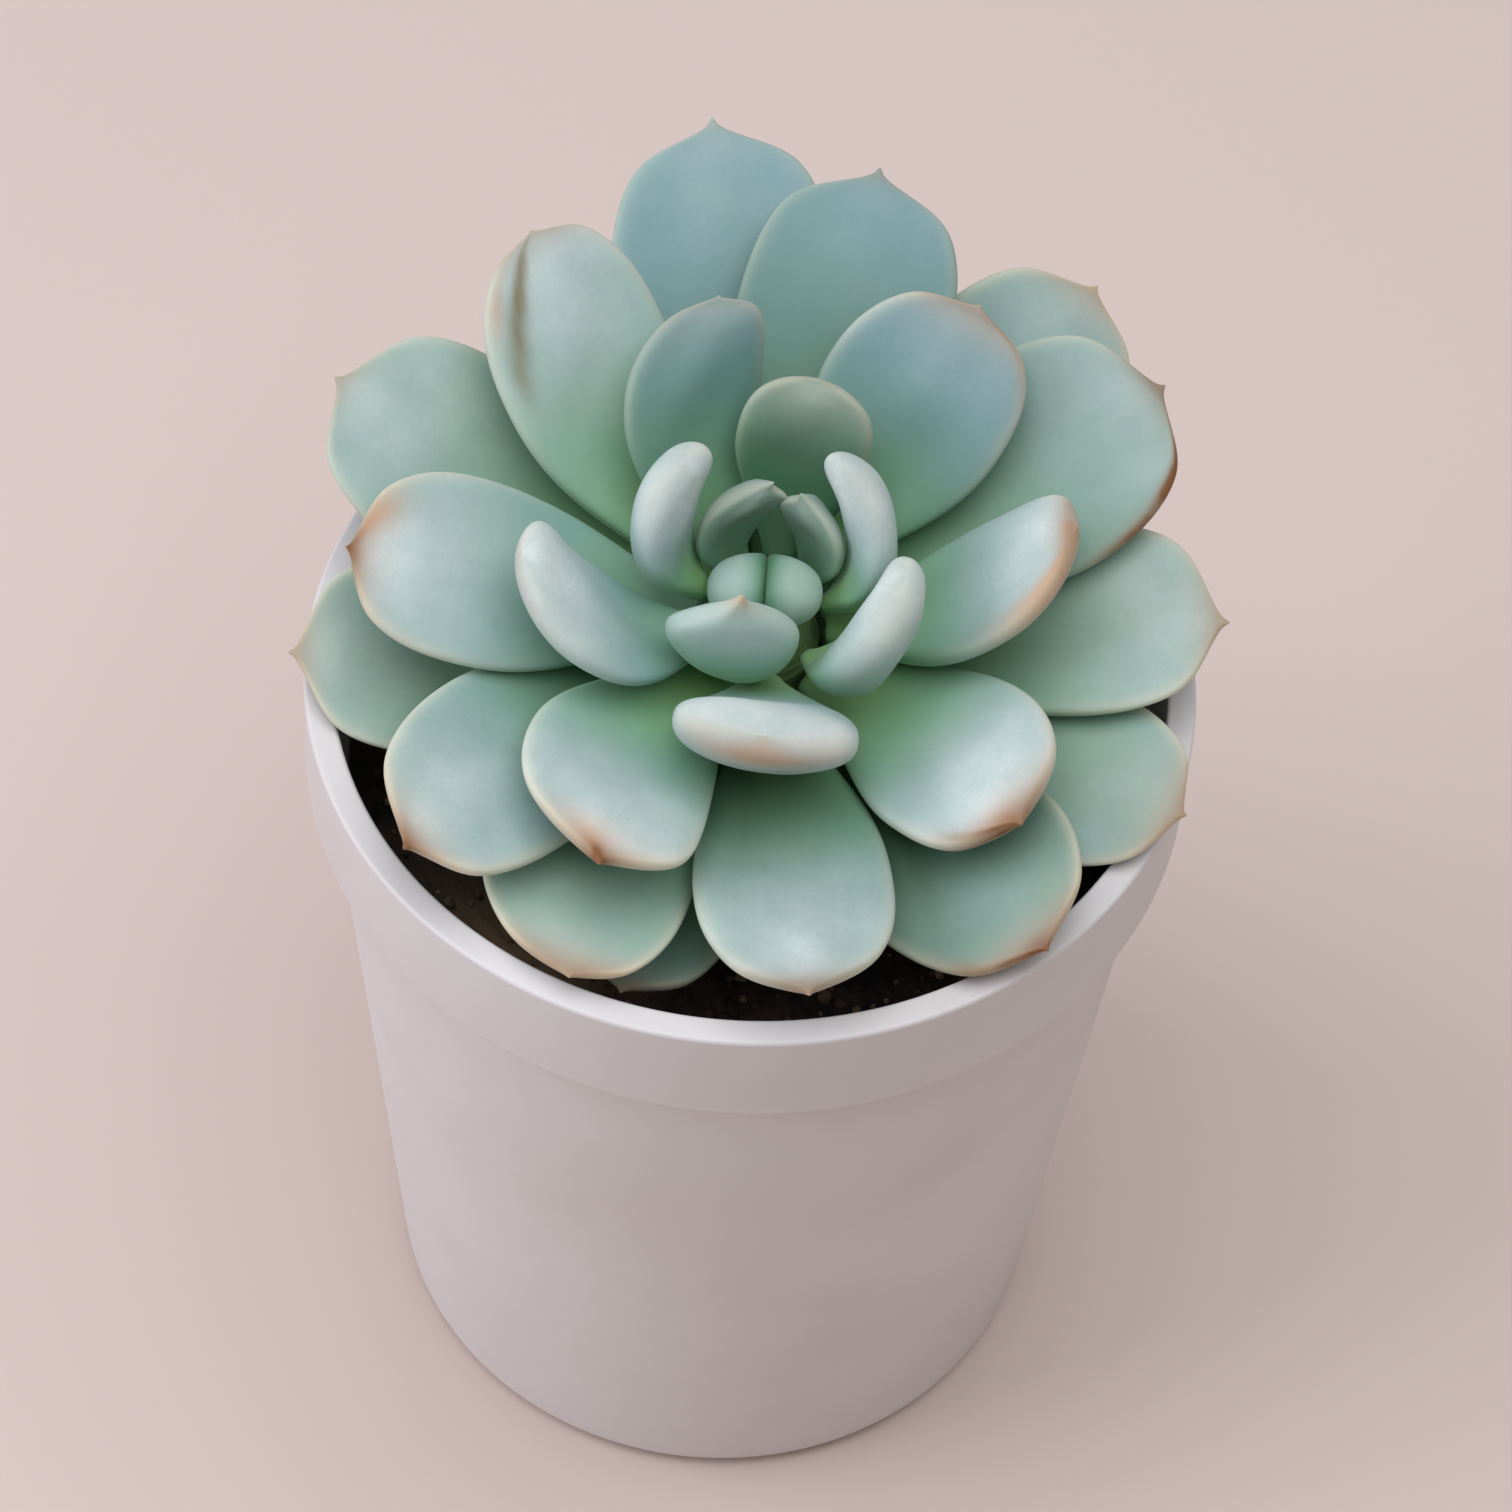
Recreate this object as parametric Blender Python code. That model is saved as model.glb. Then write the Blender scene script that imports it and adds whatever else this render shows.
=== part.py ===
"""Potted succulent: a white pot with a raised rim band, potting soil, and a leaning rosette of fleshy leaves.

The origin is the centre of the pot's foot, +Z is up and -Y is the front. Blender's unit is the metre; the
leaf table is in millimetres and degrees, and MM turns it to metres.
"""

from dataclasses import dataclass
from functools import cache
from math import atan2, cos, hypot, pi, radians, sin

import bpy
import numpy as np
from mathutils import Matrix, Vector

MM = 0.001
GAP = 0.0003  # left between pieces that touch

# Pot
POT_HEIGHT = 0.100
RIM_RADIUS = 0.045  # outside of the rim band
BAND_PROUD = 0.0022  # how far the band stands out from the body under it
FOOT_RADIUS = 0.0354  # outside of the body carried down to the floor
BAND_HEIGHT = 0.0127
WALL = 0.0018  # wall of the body, measured level
FLOOR = 0.0030
FOOT_ROUND = 0.0030
LIP_ROUND = 0.0007
BAND_ROUND = 0.0012  # under the band, where it runs into the body
INNER_ROUND = 0.0025  # between the floor and the wall, inside
DRAIN_HOLES = 4
DRAIN_RADIUS = 0.0025
DRAIN_CIRCLE = 0.018
POT_SEGMENTS = 64

# Soil
SOIL_DROP = 0.015  # from the lip down to the soil at the wall
SOIL_MOUND = 0.0015  # how much higher the soil is round the stem
SOIL_EDGE = 0.001  # how far the soil falls away at the wall
SOIL_SEGMENTS = 40

# Rosette
LEAN = 12.0  # degrees that the stem leans to the front
SEAT_SIDE = 0.0008  # where the stem's zero height stands beside the pot's axis
SEAT_BACK = 0.0052
LEAF_CLEARANCE = 0.0006  # between the lowest leaf and the lip or the soil
STEM_RADIUS = 0.0058
STEM_SEGMENTS = 20
STEM_DEPTH = 0.0055  # of the stem's foot in the soil
STEM_CAP = 0.001  # height of the low cones that close its two ends
STEM_FOOT = ((0, 0.35), (3, 0.75))  # height above its foot in mm, share of the stem's radius
STEM_PROFILE = ((-1, 0.95), (4, 1.0), (14, 1.0), (18, 0.8), (19.5, 0.65))  # height up the stem in mm, share

# Leaf shape
LEAF_RINGS = 10
LEAF_SIDES = 10
WIDEST = 0.64  # share of the blade's length from its base to its widest place
BASE_WIDTH = 0.22  # share of the greatest width
BASE_THICKNESS = 0.62  # share of the greatest thickness
TOP_SHARE = 0.36  # of the thickness above the leaf's middle surface
POINT_RADIUS = 0.55 * MM

# The two youngest leaves, still closed against each other over the end of the stem
BUD_HALF_WIDTH = 0.0028  # of each leaf, across the seam
BUD_HALF_DEPTH = 0.0032  # along the seam
BUD_HALF_HEIGHT = 0.0042
BUD_LIFT = 0.0003  # from the end of the stem to the bud
BUD_SQUARENESS = 0.8  # 1 is an ellipsoid, less has fuller corners
BUD_RINGS = 9
BUD_SIDES = 14

LEAF_GREEN = (0.30, 0.45, 0.39, 1.0)
STEM_GREEN = (0.22, 0.33, 0.15, 1.0)
POT_WHITE = (0.78, 0.76, 0.77, 1.0)
SOIL_BROWN = (0.035, 0.022, 0.015, 1.0)


@dataclass(frozen=True)
class Leaf:
    """One leaf, from its seat on the stem to its tip, in millimetres and degrees of the leaning rosette."""

    name: str
    azimuth: float  # side of the stem it grows on: 0 right, 90 back, 270 front
    seat: float  # height of its base up the stem
    reach: float  # of the tip from the stem's axis
    tip: float  # height of the tip up the stem's axis
    width: float
    thickness: float = 4.6
    arch: float = 16  # how much steeper it ends than it starts
    cup: float = 0.14  # rise of the edges, as a share of half the width
    roll: float = 0  # turn about its own length at the tip, lifting the edge on the anticlockwise side
    sway: float = 0  # how far the tip is turned round the stem from the base
    point: float = 1.5  # length of the small point at the tip


LEAVES = (
    # lowest ring, near the lip
    Leaf("low_front", 254, 2.5, 41, 13, 17, 3.6, -6),
    Leaf("low_front_left", 249, 5.9, 45, 22.5, 22.5, 3.3, 4, roll=9, sway=14),
    Leaf("low_left", 188, 3.2, 47.5, 16, 21.5, 3.5, -4, roll=-7),
    Leaf("low_back_left", 136, 3.5, 38, 9, 16, 3.8, -4),
    Leaf("low_back", 94, 1.5, 36, 4.5, 15, 3.8, arch=-4),
    Leaf("low_back_right", 52, 5, 51.8, 17.2, 22, 4.0, 8, roll=16),
    Leaf("low_right_back", 16, 2, 34, 6, 15, 3.8, arch=-4),
    Leaf("low_right", 337, 2.2, 46.8, 17.9, 20.5, 2.8, -6, 0.08),
    Leaf("low_front_right", 310, 7, 46.5, 22.5, 22, 4.0, 1, roll=13),
    # outer ring
    Leaf("outer_front", 279, 11.5, 44.8, 28, 19.5, arch=12),
    Leaf("outer_left_front", 224, 10.8, 45.8, 27.2, 20.5, 4.2, 6, sway=8),
    Leaf("outer_left_back", 154, 10.8, 50, 21, 22.5, 4.1, roll=-6),
    Leaf("outer_back", 99, 7.5, 57.5, 18.2, 23.5),
    Leaf("outer_back_right", 80, 12.5, 50, 23.5, 22),
    Leaf("outer_right_back", 34, 13.5, 46.8, 24, 23.5, 4.3, 8, roll=10),
    Leaf("outer_right", 3, 8.8, 46.6, 19.4, 21.5, 4.0, 6, roll=-4, sway=-4),
    # middle ring
    Leaf("middle_left", 180, 16.6, 41.5, 27.2, 20, 4.5, 14, roll=-6),
    Leaf("middle_front_left", 247.5, 15.7, 36.3, 31, 20.3, 4.3, 22, sway=14),
    Leaf("middle_front_right", 317, 13, 36.2, 27.4, 19.5, 5.0, 22, sway=-8),
    Leaf("middle_back_right", 57.5, 17.2, 36.3, 30, 20, 4.5, 20, roll=13),
    Leaf("middle_back_left", 126, 14.5, 44.5, 29, 19, 5.0, 18, sway=-6),
    Leaf("middle_back", 103, 18.5, 29.5, 31.5, 14.5, 4.8, 26, sway=-18),
    Leaf("middle_right", 13, 16.5, 31.2, 29.5, 15.5, 5.2, 30, roll=-20, sway=12, point=0.6),
    # inner ring, upright
    Leaf("inner_back", 79, 20.1, 19.7, 33, 13.5, 4.1, 30, 0.2),
    Leaf("inner_left", 184, 19.4, 24, 33.5, 13.5, 5.2, 40, 0.3, sway=-24, point=0.6),
    Leaf("inner_front", 273, 17.5, 20, 32.6, 18.6, 5.2, 50, 0.3, -9, point=0.6),
    Leaf("inner_front_right", 353, 19, 13.9, 34.5, 8.6, 6.0, 50, 0.3, sway=38, point=0.6),
    Leaf("inner_back_left", 136, 21, 12, 37.5, 9, 5.6, 60, 0.3, sway=-34, point=0.6),
    Leaf("inner_back_right", 60, 20.5, 11.2, 36.3, 7.4, 5.0, 60, 0.3, sway=50, point=0.6),
    # bud
    Leaf("bud_front", 248, 21.1, 6, 32.4, 14, arch=60, cup=0.1, roll=42, point=2.2),
    Leaf("bud_back_left", 84, 21, 8, 32, 7.2, 3.6, 60, 0.3, sway=-47),
    Leaf("bud_back_right", 74, 20.7, 7.8, 31, 6.2, 3.1, 60, 0.3, sway=32),
)


def clear_scene():
    for obj in list(bpy.data.objects):
        bpy.data.objects.remove(obj, do_unlink=True)


def material(name, colour, roughness):
    made = bpy.data.materials.new(name)
    made.use_nodes = True
    made.diffuse_color = colour
    shader = made.node_tree.nodes["Principled BSDF"]
    shader.inputs["Base Color"].default_value = colour
    shader.inputs["Roughness"].default_value = roughness
    shader.inputs["Metallic"].default_value = 0.0
    return made


def add_mesh(name, points, faces, finish):
    mesh = bpy.data.meshes.new(name)
    mesh.from_pydata([tuple(point) for point in points], [], faces)
    mesh.update()
    mesh.shade_smooth()
    mesh.set_sharp_from_angle(angle=radians(40))
    mesh.materials.append(finish)
    obj = bpy.data.objects.new(name, mesh)
    bpy.context.scene.collection.objects.link(obj)
    return obj


def arc(centre_r, centre_z, radius, start, end, steps=4):
    """Points (r, z) on an arc, with its angles in degrees from the outward direction."""
    angles = [radians(start + (end - start) * step / steps) for step in range(steps + 1)]
    return [(centre_r + radius * cos(angle), centre_z + radius * sin(angle)) for angle in angles]


def revolve(name, profile, segments, finish):
    """A solid turned round Z from a profile (r, z) that starts and ends on the axis."""
    inner = profile[1:-1]
    angles = [2 * pi * step / segments for step in range(segments)]
    points = [(r * cos(angle), r * sin(angle), z) for r, z in inner for angle in angles]
    first = len(points)
    points += [(0, 0, profile[0][1]), (0, 0, profile[-1][1])]
    faces = []
    for ring in range(len(inner) - 1):
        for step in range(segments):
            a = ring * segments + step
            b = ring * segments + (step + 1) % segments
            faces.append((a, b, b + segments, a + segments))
    last = (len(inner) - 1) * segments
    for step in range(segments):
        after = (step + 1) % segments
        faces.append((first, after, step))
        faces.append((first + 1, last + step, last + after))
    return add_mesh(name, points, faces, finish)


def cut(obj, cutter):
    """Takes the cutter's shape out of the object."""
    cutter.hide_render = True
    cutter.display_type = "WIRE"
    boolean = obj.modifiers.new("Cut " + cutter.name, "BOOLEAN")
    boolean.operation = "DIFFERENCE"
    boolean.solver = "EXACT"
    boolean.object = cutter


def body_radius(z):
    """Outside radius of the tapering body at a height, carried on inside the band up to the lip."""
    under_band = POT_HEIGHT - BAND_HEIGHT
    return FOOT_RADIUS + (RIM_RADIUS - BAND_PROUD - FOOT_RADIUS) * z / under_band


def inner_radius(z):
    return body_radius(z) - WALL


def build_pot(finish):
    under_band = POT_HEIGHT - BAND_HEIGHT
    lip_inside = inner_radius(POT_HEIGHT)
    profile = [(0, 0)]
    profile += arc(body_radius(FOOT_ROUND) - FOOT_ROUND, FOOT_ROUND, FOOT_ROUND, -90, 0)
    profile += [(body_radius(under_band - BAND_ROUND), under_band - BAND_ROUND)]
    profile += [(RIM_RADIUS - BAND_ROUND / 2, under_band)]
    profile += [(RIM_RADIUS, under_band + BAND_ROUND)]
    profile += arc(RIM_RADIUS - LIP_ROUND, POT_HEIGHT - LIP_ROUND, LIP_ROUND, 0, 90, 3)
    profile += arc(lip_inside + LIP_ROUND, POT_HEIGHT - LIP_ROUND, LIP_ROUND, 90, 180, 3)
    floor_corner = inner_radius(FLOOR + INNER_ROUND) - INNER_ROUND
    profile += arc(floor_corner, FLOOR + INNER_ROUND, INNER_ROUND, 0, -90)
    profile += [(0, FLOOR)]
    pot = revolve("pot", profile, POT_SEGMENTS, finish)
    for hole in range(DRAIN_HOLES):
        angle = 2 * pi * (hole + 0.5) / DRAIN_HOLES
        tall = [(0, -FLOOR), (DRAIN_RADIUS, -FLOOR), (DRAIN_RADIUS, 2 * FLOOR), (0, 2 * FLOOR)]
        cutter = revolve(f"drain_cutter_{hole}", tall, 16, finish)
        cutter.location = (DRAIN_CIRCLE * cos(angle), DRAIN_CIRCLE * sin(angle), 0)
        cut(pot, cutter)
    return pot


def soil_top():
    """Profile (r, z) of the soil's surface, from the wall to the middle."""
    top = POT_HEIGHT - SOIL_DROP
    edge = inner_radius(top) - GAP
    slope = [(edge, top - SOIL_EDGE), (edge - 2 * SOIL_EDGE, top), (edge * 0.6, top + SOIL_MOUND * 0.4)]
    return [*slope, (edge * 0.3, top + SOIL_MOUND), (0, top + SOIL_MOUND)]


@cache
def seat_height():
    """The lowest place for the stem's zero height at which every leaf clears the lip and the soil."""
    along = np.linspace(0, 1, 41)
    tilt = np.array(Matrix.Rotation(radians(LEAN), 3, "X"))
    ground = soil_top()[::-1] + [(inner_radius(POT_HEIGHT), POT_HEIGHT), (RIM_RADIUS, POT_HEIGHT)]
    ground_radius, ground_height = np.array(ground).T
    seats = []
    for leaf in LEAVES:
        points = leaf_rings(leaf, along, 24).reshape(-1, 3) @ tilt.T + (SEAT_SIDE, SEAT_BACK, 0)
        radius = np.hypot(points[:, 0], points[:, 1])
        under = np.interp(radius, ground_radius, ground_height, right=0.0)
        seats.append((under + LEAF_CLEARANCE - points[:, 2]).max())
    return float(max(seats))


def rosette_matrix():
    """Takes rosette coordinates, with the stem along Z, to the pot's."""
    seat = Vector((SEAT_SIDE, SEAT_BACK, seat_height()))
    return Matrix.Translation(seat) @ Matrix.Rotation(radians(LEAN), 4, "X")


def stem_radius(height):
    """Radius of the stem at a height up it, both in metres."""
    heights = [row[0] * MM for row in STEM_PROFILE]
    shares = [row[1] for row in STEM_PROFILE]
    return STEM_RADIUS * float(np.interp(height, heights, shares))


def stem_outline(clearance):
    """Profile (r, z) of the stem, or of a hole that leaves a clearance round it."""
    foot = (POT_HEIGHT - SOIL_DROP - STEM_DEPTH - seat_height()) / cos(radians(LEAN))
    rows = [(STEM_RADIUS * share + clearance, foot + height * MM) for height, share in STEM_FOOT]
    rows += [(STEM_RADIUS * share + clearance, height * MM) for height, share in STEM_PROFILE]
    low = (0, rows[0][1] - STEM_CAP - clearance)
    high = (0, rows[-1][1] + STEM_CAP + clearance)
    return [low, *rows, high]


def build_soil(finish):
    bottom = FLOOR + GAP
    corner = INNER_ROUND
    low_edge = inner_radius(bottom + corner) - GAP
    profile = [(0, bottom)]
    profile += arc(low_edge - corner, bottom + corner, corner, -90, 0)
    profile += soil_top()
    soil = revolve("soil", profile, SOIL_SEGMENTS, finish)
    pocket = revolve("stem_cutter", stem_outline(GAP), STEM_SEGMENTS, finish)
    pocket.matrix_world = rosette_matrix()
    cut(soil, pocket)
    return soil


def build_stem(finish):
    stem = revolve("stem", stem_outline(0), STEM_SEGMENTS, finish)
    stem.data.transform(rosette_matrix())
    return stem


def half_width(leaf, along):
    """Half-width along the leaf: it swells from the base, then has a round end with a small point."""
    length, point_length = leaf_arc(leaf)[2], leaf.point * MM
    blade = along / (1 - point_length / length)
    swell = BASE_WIDTH + (1 - BASE_WIDTH) * np.sin(np.clip(blade / WIDEST, 0, 1) * pi / 2) ** 1.3
    beyond = np.clip((blade - WIDEST) / (1 - WIDEST), 0, 1)
    round_end = (1 - beyond**2.4) ** 0.5
    point = POINT_RADIUS * np.clip((1 - along) * length / point_length, 0, 1)
    return np.hypot(leaf.width * MM / 2 * swell * round_end, point)


def thickness(leaf, along):
    """Thickness along the leaf: thinner at the base, full past the middle, falling away at the tip."""
    length, point_length = leaf_arc(leaf)[2], leaf.point * MM
    blade = np.clip(along / (1 - point_length / length), 0, 1)
    swell = BASE_THICKNESS + (1 - BASE_THICKNESS) * np.sin(np.clip(blade / 0.5, 0, 1) * pi / 2)
    point = 2 * POINT_RADIUS * np.clip((1 - along) * length / point_length, 0, 1)
    return np.hypot(leaf.thickness * MM * swell * (1 - blade**5) ** 0.5, point)


def leaf_arc(leaf):
    """The leaf's base (r, z), its first slope in radians and its length, for an arc that ends at its tip."""
    bend = radians(leaf.arch)
    stem = stem_radius((leaf.seat - leaf.thickness / 2) * MM)
    base_r, slope = stem + GAP, 0.0
    for _ in range(6):
        across, up = leaf.reach * MM - base_r, (leaf.tip - leaf.seat) * MM
        slope = atan2(up, across) - bend / 2
        underside = leaf.thickness * MM * BASE_THICKNESS * (1 - TOP_SHARE)
        base_r = stem + GAP + underside * max(0.0, sin(slope))
    chord = hypot(leaf.reach * MM - base_r, (leaf.tip - leaf.seat) * MM)
    return base_r, slope, chord * (bend / 2) / sin(bend / 2)


def leaf_spine(leaf, along):
    """Points and frames (tangent, side, up) down the middle of the leaf, in rosette coordinates."""
    base_r, slope, length = leaf_arc(leaf)
    bend = radians(leaf.arch)
    tilt = slope + bend * along
    r = base_r + length * (np.sin(tilt) - np.sin(slope)) / bend
    z = leaf.seat * MM - length * (np.cos(tilt) - np.cos(slope)) / bend
    turn = radians(leaf.azimuth) + radians(leaf.sway) * (along**2 - 1)
    out = np.stack([np.cos(turn), np.sin(turn), np.zeros_like(turn)], 1)
    side = np.stack([-np.sin(turn), np.cos(turn), np.zeros_like(turn)], 1)
    upright = np.array([0.0, 0.0, 1.0])
    points = out * r[:, None] + upright * z[:, None]
    tangent = out * np.cos(tilt)[:, None] + upright * np.sin(tilt)[:, None]
    up = np.cross(tangent, side)
    roll = radians(leaf.roll) * along
    rolled_side = side * np.cos(roll)[:, None] + up * np.sin(roll)[:, None]
    rolled_up = up * np.cos(roll)[:, None] - side * np.sin(roll)[:, None]
    return points, rolled_side, rolled_up


def leaf_rings(leaf, along, sides):
    """Points of the blade round its spine in rosette coordinates: an array of rings, sides and x, y, z."""
    points, side, up = leaf_spine(leaf, along)
    half = half_width(leaf, along)[:, None]
    angle = np.linspace(0, 2 * pi, sides, endpoint=False)[None, :]
    across = np.sign(np.cos(angle)) * np.abs(np.cos(angle)) ** 0.8
    above = TOP_SHARE * np.clip(np.sin(angle), 0, 1) ** 0.7
    below = (1 - TOP_SHARE) * np.clip(-np.sin(angle), 0, 1) ** 0.85
    height = thickness(leaf, along)[:, None] * (above - below) + leaf.cup * half * across**2
    spread = side[:, None, :] * (half * across)[:, :, None]
    return points[:, None, :] + spread + up[:, None, :] * height[:, :, None]


def closed_rings(name, rings, tip, finish):
    """A solid of rings of points, with a flat face on the first ring and a point after the last."""
    count, sides = rings.shape[:2]
    cloud = [*rings.reshape(-1, 3), tip]
    faces = [tuple(reversed(range(sides)))]
    for ring in range(count - 1):
        for step in range(sides):
            a = ring * sides + step
            b = ring * sides + (step + 1) % sides
            faces.append((a, b, b + sides, a + sides))
    last = (count - 1) * sides
    for step in range(sides):
        faces.append((last + step, last + (step + 1) % sides, len(cloud) - 1))
    obj = add_mesh(name, cloud, faces, finish)
    obj.data.transform(rosette_matrix())
    return obj


def build_leaf(leaf, finish):
    """A closed blade, flat at the base and drawn to a point at the tip."""
    along = np.sin(np.linspace(0, pi / 2, LEAF_RINGS + 1))
    rings = leaf_rings(leaf, along, LEAF_SIDES)
    return closed_rings("leaf_" + leaf.name, rings[:-1], leaf_spine(leaf, along)[0][-1], finish)


def build_bud_half(name, side, finish):
    """One of the two closed leaves: a squarish egg beside the seam, -1 on the left and 1 on the right."""
    up = np.linspace(-pi / 2, pi / 2, BUD_RINGS + 1)[1:, None]
    angle = np.linspace(0, 2 * pi, BUD_SIDES, endpoint=False)[None, :]
    level = np.cos(up) ** BUD_SQUARENESS
    x = BUD_HALF_WIDTH * level * np.sign(np.cos(angle)) * np.abs(np.cos(angle)) ** BUD_SQUARENESS
    y = BUD_HALF_DEPTH * level * np.sign(np.sin(angle)) * np.abs(np.sin(angle)) ** BUD_SQUARENESS
    z = BUD_HALF_HEIGHT * np.sin(up) + np.zeros_like(angle)
    base = STEM_PROFILE[-1][0] * MM + STEM_CAP + BUD_LIFT
    centre = np.array([side * (BUD_HALF_WIDTH + GAP / 2), 0.0, base + BUD_HALF_HEIGHT])
    rings = np.stack([x, y, z], 2) + centre
    return closed_rings(name, rings[:-1], centre + (0, 0, BUD_HALF_HEIGHT), finish)


def main():
    clear_scene()
    build_pot(material("pot_white", POT_WHITE, 0.35))
    build_soil(material("soil_brown", SOIL_BROWN, 0.95))
    build_stem(material("stem_green", STEM_GREEN, 0.6))
    for leaf in LEAVES:
        build_leaf(leaf, material("leaf_green_" + leaf.name, LEAF_GREEN, 0.55))
    build_bud_half("leaf_bud_left", -1, material("leaf_green_bud_left", LEAF_GREEN, 0.55))
    build_bud_half("leaf_bud_right", 1, material("leaf_green_bud_right", LEAF_GREEN, 0.55))


main()
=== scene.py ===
"""Potted succulent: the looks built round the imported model.

A leaning rosette of fleshy, waxy leaves stands in dark potting soil in a white moulded pot. Every leaf is a
surface carried along an arc close to its solid's, +Z is up, -Y is the front, and lengths are in metres
unless a name or a comment says mm.
"""

import logging
from dataclasses import dataclass, field
from enum import Enum
from math import atan2, cos, hypot, pi, radians, sin, sqrt
from typing import Any, ClassVar

import bpy
import numpy as np
from mathutils import Euler, Matrix, Vector


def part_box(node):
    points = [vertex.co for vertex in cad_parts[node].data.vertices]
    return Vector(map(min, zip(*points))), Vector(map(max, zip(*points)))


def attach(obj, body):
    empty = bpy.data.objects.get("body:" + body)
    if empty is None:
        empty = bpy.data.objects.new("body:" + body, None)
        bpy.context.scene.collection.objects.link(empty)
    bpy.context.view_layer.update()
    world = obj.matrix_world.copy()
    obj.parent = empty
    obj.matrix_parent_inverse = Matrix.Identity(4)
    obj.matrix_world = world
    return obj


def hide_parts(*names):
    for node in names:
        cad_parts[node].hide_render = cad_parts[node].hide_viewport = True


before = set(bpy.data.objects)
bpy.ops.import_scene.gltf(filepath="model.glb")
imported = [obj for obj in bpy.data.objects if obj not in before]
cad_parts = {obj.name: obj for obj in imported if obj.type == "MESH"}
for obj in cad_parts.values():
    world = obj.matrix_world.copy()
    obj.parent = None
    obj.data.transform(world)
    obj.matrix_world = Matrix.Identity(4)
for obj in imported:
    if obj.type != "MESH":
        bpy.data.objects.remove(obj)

log = logging.getLogger("succulent")

MM = 0.001
GAP = 0.3 * MM  # between pieces that touch
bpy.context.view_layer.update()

Colour = tuple[float, float, float, float]
Array = np.ndarray

# Settings of the nodes that mix and calculate
COLOURS = {"data_type": "RGBA"}
TIMES = {"operation": "MULTIPLY"}
TIMES_CLAMPED = {"operation": "MULTIPLY", "use_clamp": True}
PLUS_CLAMPED = {"operation": "ADD", "use_clamp": True}


# ---- helpers ----


def linear(code: str) -> Colour:
    """Turns an sRGB hex colour into linear light.

    Args:
        code: a colour such as "#8aa9a8".

    Returns:
        Red, green, blue and alpha in linear light.
    """
    parts = [int(code[at : at + 2], 16) / 255 for at in (1, 3, 5)]
    light = [part / 12.92 if part <= 0.04045 else ((part + 0.055) / 1.055) ** 2.4 for part in parts]
    return (light[0], light[1], light[2], 1.0)


def per_mm(size: float) -> float:
    """Scale of a pattern on Object coordinates whose features are that many millimetres across."""
    return 1.0 / (size * MM)


def fill(tree: Any, node: Any, **values: Any) -> None:
    """Fills a node's inputs.

    Args:
        tree: the material's node tree.
        node: the node, such as the shader.
        values: numbers, colours, sockets or nodes by input: its name with _ for a space, or its number as in
            _6. A node stands for its first output. On a Map Range 1 and 2 are the range read and 3 and 4 the
            range given; on a colour Mix 0 is the factor, and 6 and 7 are the two colours.
    """
    for name, value in values.items():
        socket = node.inputs[int(name[1:])] if name[1:].isdigit() else node.inputs[name.replace("_", " ")]
        if isinstance(value, bpy.types.Node):
            value = value.outputs[0]
        if isinstance(value, bpy.types.NodeSocket):
            tree.links.new(value, socket)
        else:
            socket.default_value = value


def add_node(tree: Any, kind: str, settings: dict[str, Any] | None = None, **values: Any) -> Any:
    """Adds a node of a type, named without "ShaderNode", with its settings, and fills its inputs."""
    made = tree.nodes.new("ShaderNode" + kind)
    for name, value in (settings or {}).items():
        setattr(made, name, value)
    fill(tree, made, **values)
    return made


def new_material(name: str, shown: Colour) -> tuple[Any, Any, Any]:
    """Starts a material.

    Args:
        name: the material's name.
        shown: its colour in the viewport.

    Returns:
        The material, its node tree and its Principled shader.
    """
    made = bpy.data.materials.new(name)
    made.use_nodes = True
    made.diffuse_color = shown
    return made, made.node_tree, made.node_tree.nodes["Principled BSDF"]


def smoothstep(low: float, high: float, value: Array) -> Array:
    """0 below low, 1 above high, and a smooth S between them."""
    t = np.clip((value - low) / (high - low), 0, 1)
    return t * t * (3 - 2 * t)


def bell(value: Array, width: float) -> Array:
    """1 at zero, falling away over a width on either side: e to the less square of their ratio."""
    return np.exp(-((value / width) ** 2))


def power(value: Array, exponent: float) -> Array:
    """A power that keeps the sign of its base."""
    return np.sign(value) * np.abs(value) ** exponent


def closed_tube(rings: Array, first: Any, last: Any) -> tuple[Array, list[Array]]:
    """Rings of points joined into a tube, with a fan to a point at each end.

    Args:
        rings: points by ring, side and x, y, z, turning anticlockwise about the way the rings run.
        first: the point that closes the first ring.
        last: the point that closes the last ring.

    Returns:
        One row of x, y, z for each point, the two end points last, and the arrays of faces, which face out.
    """
    count, sides = rings.shape[:2]
    side = np.arange(sides)
    after = (side + 1) % sides
    low = np.arange(count - 1)[:, None] * sides
    high = low + sides
    walls = np.stack([low + side, low + after, high + after, high + side], -1).reshape(-1, 4)
    total = count * sides
    top = total - sides
    foot = np.stack([np.full(sides, total), after, side], -1)
    head = np.stack([np.full(sides, total + 1), top + side, top + after], -1)
    return np.concatenate([rings.reshape(-1, 3), [first, last]]), [walls, foot, head]


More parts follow.
